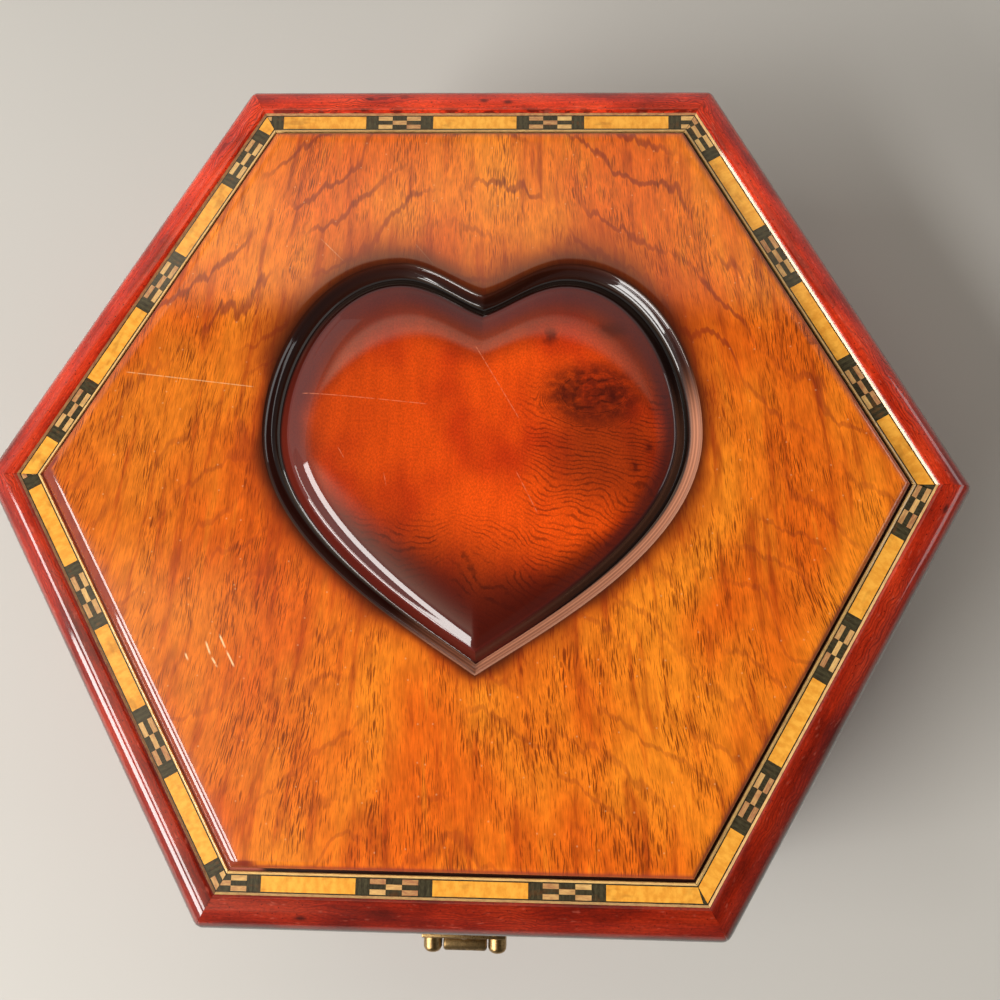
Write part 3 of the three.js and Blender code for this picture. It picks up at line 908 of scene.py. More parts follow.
def build_panel():
    foot = inlay_inner - FOOT_CLEARANCE
    under = inner_apothem - FOOT_CLEARANCE
    rebate = inlay_top - REBATE_DEPTH
    stages = ((under, panel_low[2]), (under, rebate), (foot, rebate), (foot, GROOVE_FLOOR))
    rings = [hexagon_at_rays([distance] * len(SIDES), height) for distance, height in stages]
    for inset, drop in smooth_line(FIELD_EDGE[::-1], 4):
        rings.append(hexagon_at_rays(field_distances(inset), field_top + drop))
    wall = smooth_line(MOAT_WALL[::-1], 6)
    outer, inner = rings[-1], at_rays(heart_ring(wall[0][0], 0))
    for step in range(1, FLAT_RINGS):
        rings.append(outer + (inner - outer) * step / FLAT_RINGS)
    for share, depth in wall:
        rings.append(at_rays(heart_ring(share, depth * MOAT_DEPTH)))
    rings.append(at_rays(heart_ring(0.5, -MOAT_DEPTH)))
    rings = np.array(rings)
    mesh = loft("veneered_panel", rings)
    flat = rings.reshape(-1, 3)
    last_outside = len(rings) - len(wall) + MOUTH_RINGS
    sign = np.where(np.arange(len(flat)) // len(rays) > last_outside, -1, 1)
    note(mesh, "from_moat", distance_to(moat_edge, flat) * sign)
    note(mesh, "edge_drop", (field_top - flat[:, 2]) * (sign > 0) * (flat[:, 2] > rebate - 0.1))
    return finish_piece("veneered_panel", mesh, "lid", [panel_finish], ["lid_panel"])


panel = build_panel()
print("panel faces", len(panel.data.polygons))

# %% [markdown]
# The heart's veneer is the same burl, cut where it is liveliest and stained bright red-orange. It has
# a burl eye on the right with rings around it, fine lines that flow past the eye, a hill of such
# lines below the middle, and a fine sandy speckle. The shade is sprayed from the rim inwards and
# covers the tip. The lines are levels of one height: far from the eye it is the distance to the
# front, and near the eye it turns into the distance to the eye.

# %% Heart finish
HEART_BRIGHT, HEART_RED, HEART_DARK = tint(230, 78, 10), tint(188, 48, 8), tint(70, 16, 8)
LINE_AND_SHADE_BLACK, SCRATCH_PINK = tint(20, 7, 5), tint(230, 130, 90)
EYE = (24.5, 17.0)
EYE_STRETCH = 1.5
HILL = (1.0, -13.5)
HEART_KNOTS = [((19.5, 16.8), (3.6, 2.8)), ((28.3, 16.4), (2.2, 2.6)), ((35.7, 6.1), (1.5, 1.5)),
               ((33.0, 2.0), (1.2, 1.6)), ((28.5, 30.4), (4.6, 3.0)), ((16.0, 28.8), (2.2, 3.0))]
HEART_SCRATCHES = [((-34.7, 16.8), (-19, 15.4)), ((-19, 15.4), (-8.5, 14.4)),
                   ((0.6, 27), (10, 11.3)), ((9.3, 1.0), (14.0, -8.0)),
                   ((-26.5, 5.6), (-24.9, 2.9)), ((-17.0, 0.5), (-16.3, -2.6))]


def heart_lines(made, x, y, flat):
    """The fine lines, where they show: east of the middle, low in the heart and near the eye."""
    away = made.join((x - EYE[0]) * (1 / EYE_STRETCH), y - EYE[1])
    to_eye = made.length(away)
    bulge = made.rise(to_eye, 20.0, 3.0) * 7.0
    hill = made.spot(x, y, HILL, (15, 14), 0.0) * 5.0
    flow = y + x * 0.3 + (bulge - hill)
    near = made.rise(to_eye, 8.0, 4.0)
    level = flow * (1 - near) + to_eye * 1.1 * near
    level = level + made.noise(flat, (0.09, 0.09, 0), detail=1.0) * 9.0
    level = level + made.noise(flat, (0.5, 0.5, 0), detail=3.0) * 1.6
    lines = made.rise(made.sine(level * 4.9), 0.1, 1.0)
    lines = lines * made.rise(made.noise(flat, (0.25, 0.5, 0)), 0.32, 0.6, 0.25, 1.0)
    east = made.rise(x, 7.0, 15.0) * made.rise(y, 25.0, 16.0)
    low = made.rise(y, -5.0, -13.0) * made.rise(made.noise(flat, (0.1, 0.1, 0)), 0.35, 0.5)
    lined = made.most(made.most(east, low), near)
    return lines * lined

# %% [markdown]
# The wood below the lines is patchy, with a sandy speckle, and is painted darker on its left as shade
# that evens out the window's stronger light there. A swirl below the eye, the eye, the tip and a few
# knots are darker. Then comes the sprayed rim, which is deeper at the tip; along the top it reaches
# further, partly as a painted reflection of the ceiling. The wall below it is painted black as shade
# where it faces away from the window, and black as shadow down at the moat's floor.

# %% The whole finish of the heart


def heart_wood(made, x, flat):
    patches = made.noise(flat, (0.06, 0.045, 0))
    speckle = made.noise(flat, (2.8, 1.9, 0), rough=0.7)
    streaks = made.noise(flat, (0.4, 0.07, 0), detail=3.0)
    colour = made.mix(made.rise(patches, 0.3, 0.6), HEART_RED, HEART_BRIGHT)
    colour = made.mottle(colour, speckle, 0.8, 1.18)
    colour = made.mottle(colour, streaks, 0.92, 1.06)
    # Darker on the left: painted shade that evens out the window's stronger light there
    return made.shade(colour, made.rise(x, -32.0, 8.0, 0.7, 1.0))


def heart_darks(made, colour, x, y, flat, lines):
    swirl = made.spot(x, y, (27.0, 5.0), (17.0, 16.0), 0.3)
    broken = made.rise(made.noise(flat, (0.45, 0.6, 0), detail=3.0, rough=0.65), 0.32, 0.62, 0.5, 1.0)
    eye = made.spot(x, y, EYE, (13.5, 8.4), 0.5) * broken
    below = made.rise(y + x * 0.25, -6.0, -24.0) * 0.85
    colour = made.mix(made.most(swirl * 0.6, below), colour, HEART_DARK)
    colour = made.mix(eye * 0.8, colour, HEART_DARK)
    colour = made.mix(lines * 0.5, colour, LINE_AND_SHADE_BLACK)
    wobble = made.noise(flat, (0.7, 0.7, 0)) * 3.0
    for centre, radii in HEART_KNOTS:
        knot = made.spot(x + (wobble - 1.5), y, centre, radii, 0.1)
        colour = made.mix(knot * 0.72, colour, HEART_DARK)
    return colour


def sprayed_rim_and_painted_shade(made, colour, x, y, flat):
    rim = made.read("from_rim")
    depth = made.rise(made.noise(flat, (0.06, 0.06, 0)), NOISE_LOW, NOISE_HIGH, 2.5, 5.5)
    depth = depth + made.rise(x * -0.25 - y, 6.0, 30.0, 0.0, 9.0)
    # Wider at the top: partly sprayed shade, partly a painted dull reflection of the ceiling
    depth = depth + (made.rise(y, 10.0, 32.0, 0.0, 8.0) + made.rise(x, -14.0, -36.0, 0.0, 2.0))
    colour = made.mix(made.rise(rim / depth, 1.35, 0.1) * 0.9, colour, HEART_DARK)
    colour = made.mix(made.rise(rim, 0.3, -0.4) * 0.4, colour, WALL_RED)
    # Painted shade: the wall goes black where it faces away from the window, less so on the lower left
    west = made.rise(x + y * 0.8, -34.0, 8.0, 0.25, 1.0)
    colour = made.mix(made.rise(rim, 0.4, -1.2) * west, colour, LINE_AND_SHADE_BLACK)
    # Painted shadow: black low on the wall, down at the moat's floor
    return made.mix(made.rise(rim, -2.0, -2.9), colour, LINE_AND_SHADE_BLACK)


def heart_burl():
    made = Finish("heart_burl", roughness=0.4, coat=1.0, coat_roughness=0.035)
    x, y = made.split(made.place())[:2]
    flat = made.join(x, y)
    lines = heart_lines(made, x, y, flat)
    colour = heart_darks(made, heart_wood(made, x, flat), x, y, flat, lines)
    colour = sprayed_rim_and_painted_shade(made, colour, x, y, flat)
    ragged = made.rise(made.noise(flat, (0.9, 0.9, 0)), 0.35, 0.55, 0.2, 1.0)
    marks = made.scratches(x, y, HEART_SCRATCHES, FINE_WIDTH) * ragged
    colour = made.mix(marks * 0.5, colour, SCRATCH_PINK)
    made.surface("Base Color", colour)
    made.relief(made.noise(flat, (0.2, 0.2, 0), detail=1.0) - marks * 0.5, 0.02)
    return made.material


heart_finish = heart_burl()

# %% [markdown]
# The heart itself is a pillow: a wall that leans in from the moat's floor, a rounded shoulder, and a
# low dome whose crown is nearly flat. The wall is the ring blend again. The dome shrinks the pillow's
# edge towards the heart's middle, a little at a time, and rises less and less.

# %% The heart
PILLOW_WALL = [(0.4, 0), (0.48, 0.04), (0.56, 0.14), (0.64, 0.31), (0.72, 0.52),
               (0.8, 0.73), (0.88, 0.89), (0.95, 0.97), (1, 1)]
PILLOW_SHOULDER, PILLOW_RISE = 0.7, heart_top - field_top
DOME_POWER = 10.0
DOME_RINGS = 44


def build_heart():
    foot = FOOT_CLEARANCE - MOAT_DEPTH
    rings = []
    for share, rise in smooth_line(PILLOW_WALL, 5):
        rings.append(heart_ring(share, foot + rise * (PILLOW_SHOULDER - foot)))
    for step in range(1, DOME_RINGS + 1):
        scale = 1 - step / (DOME_RINGS + 1)
        rise = (PILLOW_RISE - PILLOW_SHOULDER) * (1 - scale ** DOME_POWER)
        outline = HEART_MIDDLE + (pillow_edge - HEART_MIDDLE) * scale
        rings.append(on_lid(outline, PILLOW_SHOULDER + rise))
    rings = np.array(rings)
    mesh = loft("red_heart", rings)
    flat = rings.reshape(-1, 3)
    on_wall = np.arange(len(flat)) // rings.shape[1] < len(rings) - DOME_RINGS
    note(mesh, "from_rim", distance_to(pillow_edge, flat) * np.where(on_wall, -1, 1))
    return finish_piece("red_heart", mesh, "lid", [heart_finish], ["heart"])


heart = build_heart()
print("heart faces", len(heart.data.polygons))

# %% [markdown]
# The inlay is a bought banding: yellow lengths between chequered blocks, each block closed by two
# dark bars. It was laid without matching the corners, so each side starts somewhere else in the
# pattern. On the real object it is cut from glued slips of veneer, so here too every slip is a face
# of its own with a hair-fine joint round it, and the finish tells yellow, dark and cream slips apart.
# A pale and a dark string edge it on the outside, a dark string and a rounded bead on the inside.

# %% Inlay finishes
GOLD_SLIP, GOLD_DEEP = tint(255, 186, 74), tint(224, 140, 40)
DARK_SLIP, DARK_GREY = tint(40, 34, 24), tint(82, 76, 54)
CREAM_SLIP, TAN_SLIP = tint(236, 194, 120), tint(164, 104, 74)
GRIME_BROWN = tint(120, 66, 24)


def slip_finish(name, light, deep, factors, contrast):
    """Veneer slip: each has its own tone, between a light and a deep colour, and fine grain."""
    made = Finish(name, roughness=0.4, coat=1.0, coat_roughness=0.05)
    grain = made.read("grain", "Vector")
    tone = made.read("tone")
    fibres = made.noise(grain, factors, detail=3.0, rough=0.6)
    share = made.rise(fibres, NOISE_LOW, NOISE_HIGH) * contrast + tone * (1 - contrast)
    colour = made.mix(share, light, deep)
    grime = made.rise(made.noise(grain, (0.2, 0.5, 1)), 0.55, 0.75, 0.0, 0.35)
    made.surface("Base Color", made.mix(grime, colour, GRIME_BROWN))
    made.relief(fibres, 0.01)
    return made.material


gold_finish = slip_finish("gold_slip", GOLD_SLIP, GOLD_DEEP, (0.9, 0.5, 1), 0.6)
dark_finish = slip_finish("dark_slip", DARK_SLIP, DARK_GREY, (3.0, 1.0, 1), 0.5)
cream_finish = slip_finish("cream_slip", CREAM_SLIP, TAN_SLIP, (0.8, 3.0, 1), 0.4)
SLIPS = [gold_finish, dark_finish, cream_finish]
GOLD, DARK, CREAM = range(3)

# %% [markdown]
# Now the strips. Across the band lie the pale string, a dark string, three rows of bricks, the second
# dark string and the bead. The pale string is a small bar whose top slopes inwards. On three sides it
# is pale, on the others it has gone red-brown. Along the band, each side lists only where the middle
# of one yellow length lies, and the repeat does the rest.

# %% Inlay strips
REPEAT, YELLOW_LENGTH, BAR_LENGTH = 32.7, 18.1, 2.7
BAR_SLIPS, CHECK_COLUMNS, CHECK_ROWS = 5, 3, 3
PALE_STRING, DARK_STRING = 0.4, 0.24
PALE_STRING_FORM = [(0, -0.1), (0, 0.27), (PALE_STRING, 0), (PALE_STRING, -0.1)]
PALE_SIDES = ("front", "front_right", "back_right")
BEAD = [(0, -0.02), (0.17, 0.06), (0.33, 0.14), (0.44, 0.13), (0.52, 0.0), (0.55, -0.15)]
STRIP_SINK = 0.12
strip_top = inlay_top - STRIP_SINK
JOINT_HAIR = 0.02
YELLOW_MIDDLE = {"back": 0.9, "back_right": -6.05, "front_right": -8.5,
                 "front": 3.85, "front_left": -0.65, "back_left": 13.4}
PALE_TONE, BROWN_TONE = 0.3, 1.0
rng = np.random.default_rng(7)


def pattern_breaks(middle_of_yellow, reach):
    """Slips along a side as (start, end, kind, column), from one mitre to past the other."""
    check_length = (REPEAT - YELLOW_LENGTH - 2 * BAR_LENGTH) / CHECK_COLUMNS
    slips = []
    repeats_before = math.ceil((middle_of_yellow + reach) / REPEAT)
    start = middle_of_yellow - YELLOW_LENGTH / 2 - REPEAT * repeats_before
    while start < reach:
        slips.append((start, start + YELLOW_LENGTH, "yellow", 0))
        place = start + YELLOW_LENGTH
        dark_bar = ("bar", BAR_SLIPS, BAR_LENGTH / BAR_SLIPS)
        for kind, pieces, length in (dark_bar, ("check", CHECK_COLUMNS, check_length), dark_bar):
            for column in range(pieces):
                slips.append((place, place + length, kind, column))
                place += length
        start += REPEAT
    return [slip for slip in slips if slip[1] > -reach and slip[0] < reach]


def check_kind(column, row):
    """Wood of a slip in the chequers and its tone."""
    if (column + row) % 2 == 0:
        return CREAM, rng.uniform(0, 1)
    return DARK, rng.uniform(0, 0.5)

# %% [markdown]
# A slip is one flat face, drawn in by a hair on every side, so that the dark bed shows in the joint
# as glue does. An image could show the pattern, but faces stay sharp however close the camera comes.
# Bars that have a section, such as the bead, are cut by the same mitres.

# %% Slips and bars


def lay_slip(work, layers, corners, material, tone, frame_of_side):
    """One slip as a face with a hair of joint round it."""
    outward, along, index = frame_of_side
    middle_point = np.mean(corners, axis=0)
    points = []
    for run, distance in corners:
        pull = middle_point - (run, distance)
        pull = pull / max(np.linalg.norm(pull), 1e-6) * JOINT_HAIR
        run, distance = run + pull[0], distance + pull[1]
        plan = distance * outward + run * along
        points.append((work.verts.new((*(plan * MM), strip_top * MM)), (run, distance)))
    face = work.faces.new([vertex for vertex, _ in points])
    face.material_index = material
    face[layers["tone"]] = tone
    for vertex, (run, distance) in points:
        vertex[layers["grain"]] = (run + SIDE_STRIDE * index, distance, material * 5.0 + tone)


def mitred_bar(work, layers, frame_of_side, section, material, tone=0.0):
    """A length with a section of (distance, height) points, cut by both mitres."""
    outward, along, index = frame_of_side
    slope = math.tan(HALF_TURN_OF_SIDE)
    ends = []
    for sign in (-1, 1):
        ring = []
        for distance, height in section:
            run = sign * (distance * slope - MITRE_HAIR)
            plan = distance * outward + run * along
            vertex = work.verts.new((*(plan * MM), height * MM))
            vertex[layers["grain"]] = (run + SIDE_STRIDE * index, distance, 1.0)
            ring.append(vertex)
        ends.append(ring)
    for face in skin(work, ends):
        face.material_index = material
        face[layers["tone"]] = tone

# %% [markdown]
# Each side gets its pale string and its two dark strings, and then the bricks from one mitre to the
# other. The bed under them and the bead come last.

# %% Laying the inlay


def build_inlay(side, degrees, index):
    outward, along = side_axes(degrees)
    frame_of_side = (outward, along, index)
    outer = inner_apothem - FOOT_CLEARANCE
    slope = math.tan(HALF_TURN_OF_SIDE)
    rows = [outer, outer - PALE_STRING, outer - PALE_STRING - DARK_STRING]
    brick = (rows[-1] - inlay_inner - DARK_STRING) / CHECK_ROWS
    rows += [rows[-1] - brick * (k + 1) for k in range(CHECK_ROWS)] + [inlay_inner]
    work = bmesh.new()
    layers = {"tone": work.faces.layers.float.new("tone"),
              "grain": work.verts.layers.float_vector.new("grain")}

    def cell(start, end, far, near, material, tone):
        """A slip between two places along and two distances out, cut by the mitres."""
        corners = []
        for run, distance in ((start, far), (end, far), (end, near), (start, near)):
            limit = distance * slope - MITRE_HAIR
            corners.append((np.clip(run, -limit, limit), distance))
        kept = [corner for i, corner in enumerate(corners)
                if math.dist(corner, corners[i - 1]) > 3 * JOINT_HAIR]
        if len(kept) > 2:
            lay_slip(work, layers, np.array(kept), material, tone, frame_of_side)

    reach = outer * slope
    string = [(outer - inset, strip_top + rise) for inset, rise in PALE_STRING_FORM]
    string_tone = PALE_TONE if side in PALE_SIDES else BROWN_TONE
    mitred_bar(work, layers, frame_of_side, string, CREAM, string_tone)
    cell(-reach, reach, rows[1], rows[2], DARK, 0.1)
    cell(-reach, reach, rows[-2], rows[-1], DARK, 0.1)
    for start, end, kind, column in pattern_breaks(YELLOW_MIDDLE[side], reach):
        if kind == "yellow":
            cell(start, end, rows[2], rows[-2], GOLD, rng.uniform(0.1, 0.5))
        elif kind == "bar":
            cell(start, end, rows[2], rows[-2], DARK, 0.75 if column % 2 else 0.25)
        else:
            for row in range(CHECK_ROWS):
                cell(start, end, rows[2 + row], rows[3 + row], *check_kind(column, row))
    slips = len(work.faces)
    # The glued bed under the slips shows dark in their joints. The bead closes the band inside.
    high, low = strip_top - JOINT_HAIR / 2, strip_low[2]
    bed = [(outer, low), (outer, high), (inlay_inner, high), (inlay_inner, low)]
    mitred_bar(work, layers, frame_of_side, bed, DARK)
    foot = GROOVE_FLOOR + FOOT_CLEARANCE
    bead = [(inlay_inner - inset, strip_top + rise) for inset, rise in smooth_line(BEAD, 4)]
    bead += [(bead[-1][0], foot), (bead[0][0], foot)]
    mitred_bar(work, layers, frame_of_side, bead, CREAM)
    mesh = bpy.data.meshes.new("inlay_band_" + side)
    work.to_mesh(mesh)
    work.free()
    piece = finish_piece("inlay_band_" + side, mesh, "lid", SLIPS, ["inlay_" + side])
    return piece, slips


for index, (side, degrees) in enumerate(SIDES.items()):
    band, slips = build_inlay(side, degrees, index)
    print(band.name, slips, "slips")

# %% [markdown]
# The bottom board is let in between the walls and shows only inside and from below. It is plain
# stained wood with straight grain, satin rather than glossy, and its edges are eased.

# %% Bottom board
PLAIN_LIGHT, PLAIN_DARK = tint(182, 128, 82), tint(146, 96, 58)


def plain_wood():
    made = Finish("plain_wood", roughness=0.55, specular=0.35)
    grain = made.place()
    rings = made.noise(grain, (0.02, 0.35, 0.35), detail=3.0, rough=0.55)
    fibres = made.noise(grain, (0.15, 3.2, 3.2), detail=3.0, rough=0.65)
    pores = made.rise(made.dots(grain, (0.22, 1.7, 1.7), flat=False), 0.2, 0.1)
    colour = made.mix(made.rise(rings, 0.35, 0.65), PLAIN_LIGHT, PLAIN_DARK)
    colour = made.shade(colour, made.rise(fibres, 0.25, 0.75, 0.82, 1.1))
    colour = made.mix(pores * 0.6, colour, PLAIN_DARK)
    made.surface("Base Color", colour)
    made.surface("Roughness", made.rise(fibres, 0.2, 0.8, 0.48, 0.68))
    made.relief(fibres - pores, 0.04)
    return made.material


plain_finish = plain_wood()
BOARD_EASING = 0.5


def build_bottom():
    low, high = node_box("bottom_board")
    side = inner_apothem - FOOT_CLEARANCE
    rings = []
    for inset, height in ((BOARD_EASING, 0.0), (0.0, BOARD_EASING), (0.0, high[2] - BOARD_EASING),
                          (BOARD_EASING, high[2])):
        plan = hexagon_corners([side - inset] * 6)
        rings.append(np.column_stack([plan, np.full(6, low[2] + height)]))
    mesh = loft("bottom", rings)
    return finish_piece("bottom", mesh, "box", [plain_finish], ["bottom_board"])


bottom = build_bottom()
print("bottom board", [round(side * 1000) for side in bottom.dimensions], "mm")

# %% [markdown]
# The catch and the hinges are cast and stamped brass that has gone brown, with bright rubbed places
# on what sticks out. The finish mixes a bright and a brown brass by a patchy noise, and is rougher
# where it is brown.

# %% Aged brass finish
BRASS_BRIGHT, BRASS_BROWN, BRASS_DARK = tint(160, 130, 86), tint(92, 74, 48), tint(34, 27, 18)


def aged_brass(name, wear):
    made = Finish(name, metallic=1.0, specular=0.5)
    place = made.place()
    patches = made.noise(place, (0.6, 0.6, 0.6), detail=4.0, rough=0.65)
    grit = made.noise(place, (5.0, 5.0, 5.0), detail=3.0, rough=0.7)
    scuffs = made.noise(place, (0.8, 9.0, 2.0))
    tarnish = made.rise(patches + grit * 0.35, 0.78 - wear, 0.38 - wear * 0.5)
    colour = made.mix(tarnish, BRASS_BRIGHT, BRASS_BROWN)
    pits = made.rise(grit, 0.42, 0.3)
    colour = made.mix(pits * 0.75, colour, BRASS_DARK)
    colour = made.mottle(colour, scuffs, 0.85, 1.1)
    made.surface("Base Color", colour)
    made.surface("Roughness", made.rise(grit + tarnish * 0.4, 0.3, 1.0, 0.26, 0.5))
    made.relief(grit * 0.6 + scuffs * 0.4, 0.05)
    return made.material


brass_rubbed = aged_brass("brass_rubbed", 0.16)
brass_brown = aged_brass("brass_brown", -0.12)

# %% [markdown]
# Hardware is made of a few plain forms with eased edges: blocks, bars and round-headed nails. They
# are joined into one skin for each piece, so that no face is left inside. A small bevel on every edge
# is what makes metal read as metal, because it catches the light.

# %% Helpers for hardware
METAL_EASING = 0.18
BAR_STEPS = 40
NAIL_HEAD, NAIL_DOME, NAIL_ROOT = 0.9, 0.45, 0.3


def block(low, high, easing=METAL_EASING):
    """Block between two corners with eased edges."""
    work = bmesh.new()
    bmesh.ops.create_cube(work, size=1.0)
    for vertex in work.verts:
        share = np.array(vertex.co) + 0.5
        vertex.co = Vector((np.array(low) + share * (np.array(high) - low)) * MM)
    bmesh.ops.bevel(work, geom=work.edges[:], offset=easing * MM, segments=3, profile=0.5,
                    affect="EDGES")
    return work


def turned(profile, centre, axis, stretch=0.0):
    """Turned form from (radius, place) points, with its upper and lower halves drawn apart."""
    work = bmesh.new()
    rings = []
    for radius, place in profile:
        ring = []
        for turn in np.linspace(0, 2 * math.pi, BAR_STEPS, endpoint=False):
            sideways, up = radius * math.cos(turn), radius * math.sin(turn)
            up += stretch if math.sin(turn) > 0 else -stretch
            point = (place, sideways, up) if axis == "x" else (sideways, place, up)
            ring.append(work.verts.new(Vector((np.array(centre) + point) * MM)))
        rings.append(ring)
    skin(work, rings)
    return work


def bar(radius, left, right, y, z, easing=METAL_EASING):
    """Round bar along x with eased ends."""
    turns = np.linspace(0, math.pi / 2, 5)
    ends = [(radius - easing * (1 - math.sin(t)), easing * (1 - math.cos(t))) for t in turns]
    profile = [(r, left + e) for r, e in ends] + [(r, right - e) for r, e in reversed(ends)]
    return turned(profile, (0, y, z), "x")


def nail(x, y, z, outward):
    """Round-headed nail on a plate whose face looks along y or against it."""
    turns = np.linspace(0, math.pi / 2 - 0.15, 7)
    profile = [(NAIL_HEAD, -NAIL_ROOT * outward)]
    profile += [(NAIL_HEAD * math.cos(t), NAIL_DOME * math.sin(t) * outward) for t in turns]
    return turned(profile, (x, y, z), "y")

# %% [markdown]
# Forms that overlap are united by a boolean, as a founder would cast them in one. They could also be
# set into each other as they are, but then hidden faces stay inside the piece.

# %% Joining forms


def join_forms(name, forms, cut=()):
    """One closed mesh from several overlapping forms, with the forms in cut taken away."""
    def holder(work, label):
        mesh = bpy.data.meshes.new(label)
        work.to_mesh(mesh)
        work.free()
        made = bpy.data.objects.new(label, mesh)
        bpy.context.scene.collection.objects.link(made)
        return made

    base = holder(forms[0], name + "_form")
    helpers = []
    for operation, group in (("UNION", forms[1:]), ("DIFFERENCE", cut)):
        for work in group:
            helper = holder(work, name + "_helper")
            step = base.modifiers.new(operation, "BOOLEAN")
            step.operation = operation
            step.solver = "EXACT"
            step.object = helper
            helpers.append(helper)
    bpy.context.view_layer.update()
    evaluated = base.evaluated_get(bpy.context.evaluated_depsgraph_get())
    mesh = bpy.data.meshes.new_from_object(evaluated)
    mesh.name = name
    for thing in [base, *helpers]:
        bpy.data.objects.remove(thing)
    return mesh

# %% [markdown]
# The catch: a small plate on the lid's front carries two round-nosed lugs. Between them turns the
# roll of the hasp, whose tongue hangs down over a stud on the body. In the photo only the tops of the
# lugs and the roll show. The lugs are bright where fingers rub them, and the roll is brown.

# %% The catch
plate_low, plate_high = node_box("catch_plate")
hasp_low, hasp_high = node_box("catch_hasp")
keeper_low, keeper_high = node_box("catch_keeper")
catch_x = (plate_low[0] + plate_high[0]) / 2
hasp_joint = next(joint for joint in frame["joints"] if joint["name"] == "hasp_hinge")
roll_y, roll_z = [value / MM for value in hasp_joint["pos_m"][1:]]
PLATE_THICKNESS = 1.0
LUG_WIDTH, LUG_NOSE = 3.6, 1.2
ROLL_RADIUS, ROLL_EASING = 1.6, 0.55
TONGUE_TAPER, TONGUE_THICKNESS, LIP_RADIUS = 1.0, 1.2, 1.0
STUD_RADIUS = 2.2
LUG_HEIGHT, LUG_ROOT = 4.6, 0.3
PLATE_EASING, TONGUE_EASING, STUD_EASING, STUD_ROOT = 0.3, 0.25, 0.3, 0.4
PLATE_NAIL_INSET, KEEPER_NAIL_PLACE = 1.8, 4.4


def lug(centre_x):
    """Half-round lug whose axis runs out of the plate, with a rounded nose."""
    reach = plate_high[1] - plate_low[1]
    profile = [(LUG_WIDTH / 2, -LUG_ROOT)]
    for turn in np.linspace(0, math.pi / 2, 9):
        inset, depth = LUG_NOSE * (1 - math.cos(turn)), reach - LUG_NOSE * (1 - math.sin(turn))
        profile.append((LUG_WIDTH / 2 - inset, -depth))
    return turned(profile, (centre_x, plate_high[1], roll_z), "y", (LUG_HEIGHT - LUG_WIDTH) / 2)

# %% [markdown]
# The plate with its lugs rides on the lid, the hasp turns on its own, and the keeper with its stud
# stays on the box. So the catch is three pieces, each united from its forms.

# %% Building the catch


def plate(low, high, front):
    """Flat plate nailed to the face of the lid or the box."""
    return block((low[0], front, low[2]), (high[0], plate_high[1], high[2]), PLATE_EASING)


def build_catch():
    front = plate_high[1] - PLATE_THICKNESS
    nail_heights = (plate_high[2] - PLATE_NAIL_INSET, plate_low[2] + PLATE_NAIL_INSET)
    forms = [plate(plate_low, plate_high, front), lug(plate_low[0] + LUG_WIDTH / 2),
             lug(plate_high[0] - LUG_WIDTH / 2)]
    forms += [nail(catch_x, front, height, -1) for height in nail_heights]
    mesh = join_forms("catch_lugs", forms)
    finish_piece("catch_lugs", mesh, "lid", [brass_rubbed], ["catch_plate", "catch_pin"])

    half = (hasp_high[0] - hasp_low[0]) / 2 - TONGUE_TAPER
    left, right = catch_x - half, catch_x + half
    back, end = roll_y + TONGUE_THICKNESS / 2, hasp_low[2] + LIP_RADIUS
    roll = bar(ROLL_RADIUS, hasp_low[0], hasp_high[0], roll_y, roll_z, ROLL_EASING)
    tongue = block((left, back - TONGUE_THICKNESS, end), (right, back, roll_z), TONGUE_EASING)
    lip = bar(LIP_RADIUS, left, right, back - LIP_RADIUS, end, PLATE_EASING)
    mesh = join_forms("hasp", [roll, tongue, lip])
    finish_piece("hasp", mesh, "hasp", [brass_brown], ["catch_hasp"])

    keeper_z = (keeper_low[2] + keeper_high[2]) / 2
    reach = front - keeper_low[1]
    profile = [(STUD_RADIUS, STUD_ROOT)]
    for turn in np.linspace(0, math.pi / 2, 6):
        inset, rise = STUD_EASING * (1 - math.cos(turn)), STUD_EASING * (1 - math.sin(turn))
        profile.append((STUD_RADIUS - inset, rise - reach))
    forms = [plate(keeper_low, keeper_high, front), turned(profile, (catch_x, front, keeper_z), "y")]
    for side in (-1, 1):
        forms.append(nail(catch_x + side * KEEPER_NAIL_PLACE, front, keeper_z, -1))
    mesh = join_forms("keeper", forms)
    finish_piece("keeper", mesh, "box", [brass_rubbed], ["catch_keeper"])


build_catch()
print("catch at x", round(catch_x, 1), "roll at height", round(roll_z, 1))

# %% [markdown]
# The hinges are plain butt hinges nailed to the back, with three knuckles level with the seam. The
# pin shows only at its ends. Each leaf has round-headed nails.

# %% The hinges
KNUCKLE_RADIUS, PIN_RADIUS, BORE_RADIUS = 2.0, 0.8, 0.9
LEAF_THICKNESS = 1.0
KNUCKLE_GAP = 0.15
NAILS_PER_LEAF = 3
NAIL_FROM_PIN = 6.3
MIDDLE_KNUCKLE_HALF = 4.0
LEAF_EASING, KNUCKLE_EASING, WEB_EASING, BORE_EASING, PIN_EASING = 0.22, 0.15, 0.1, 0.05, 0.25
WEB_CLEARANCE = 0.05
lid_joint = next(joint for joint in frame["joints"] if joint["name"] == "lid_hinge")
hinge_y, hinge_z = [value / MM for value in lid_joint["pos_m"][1:]]


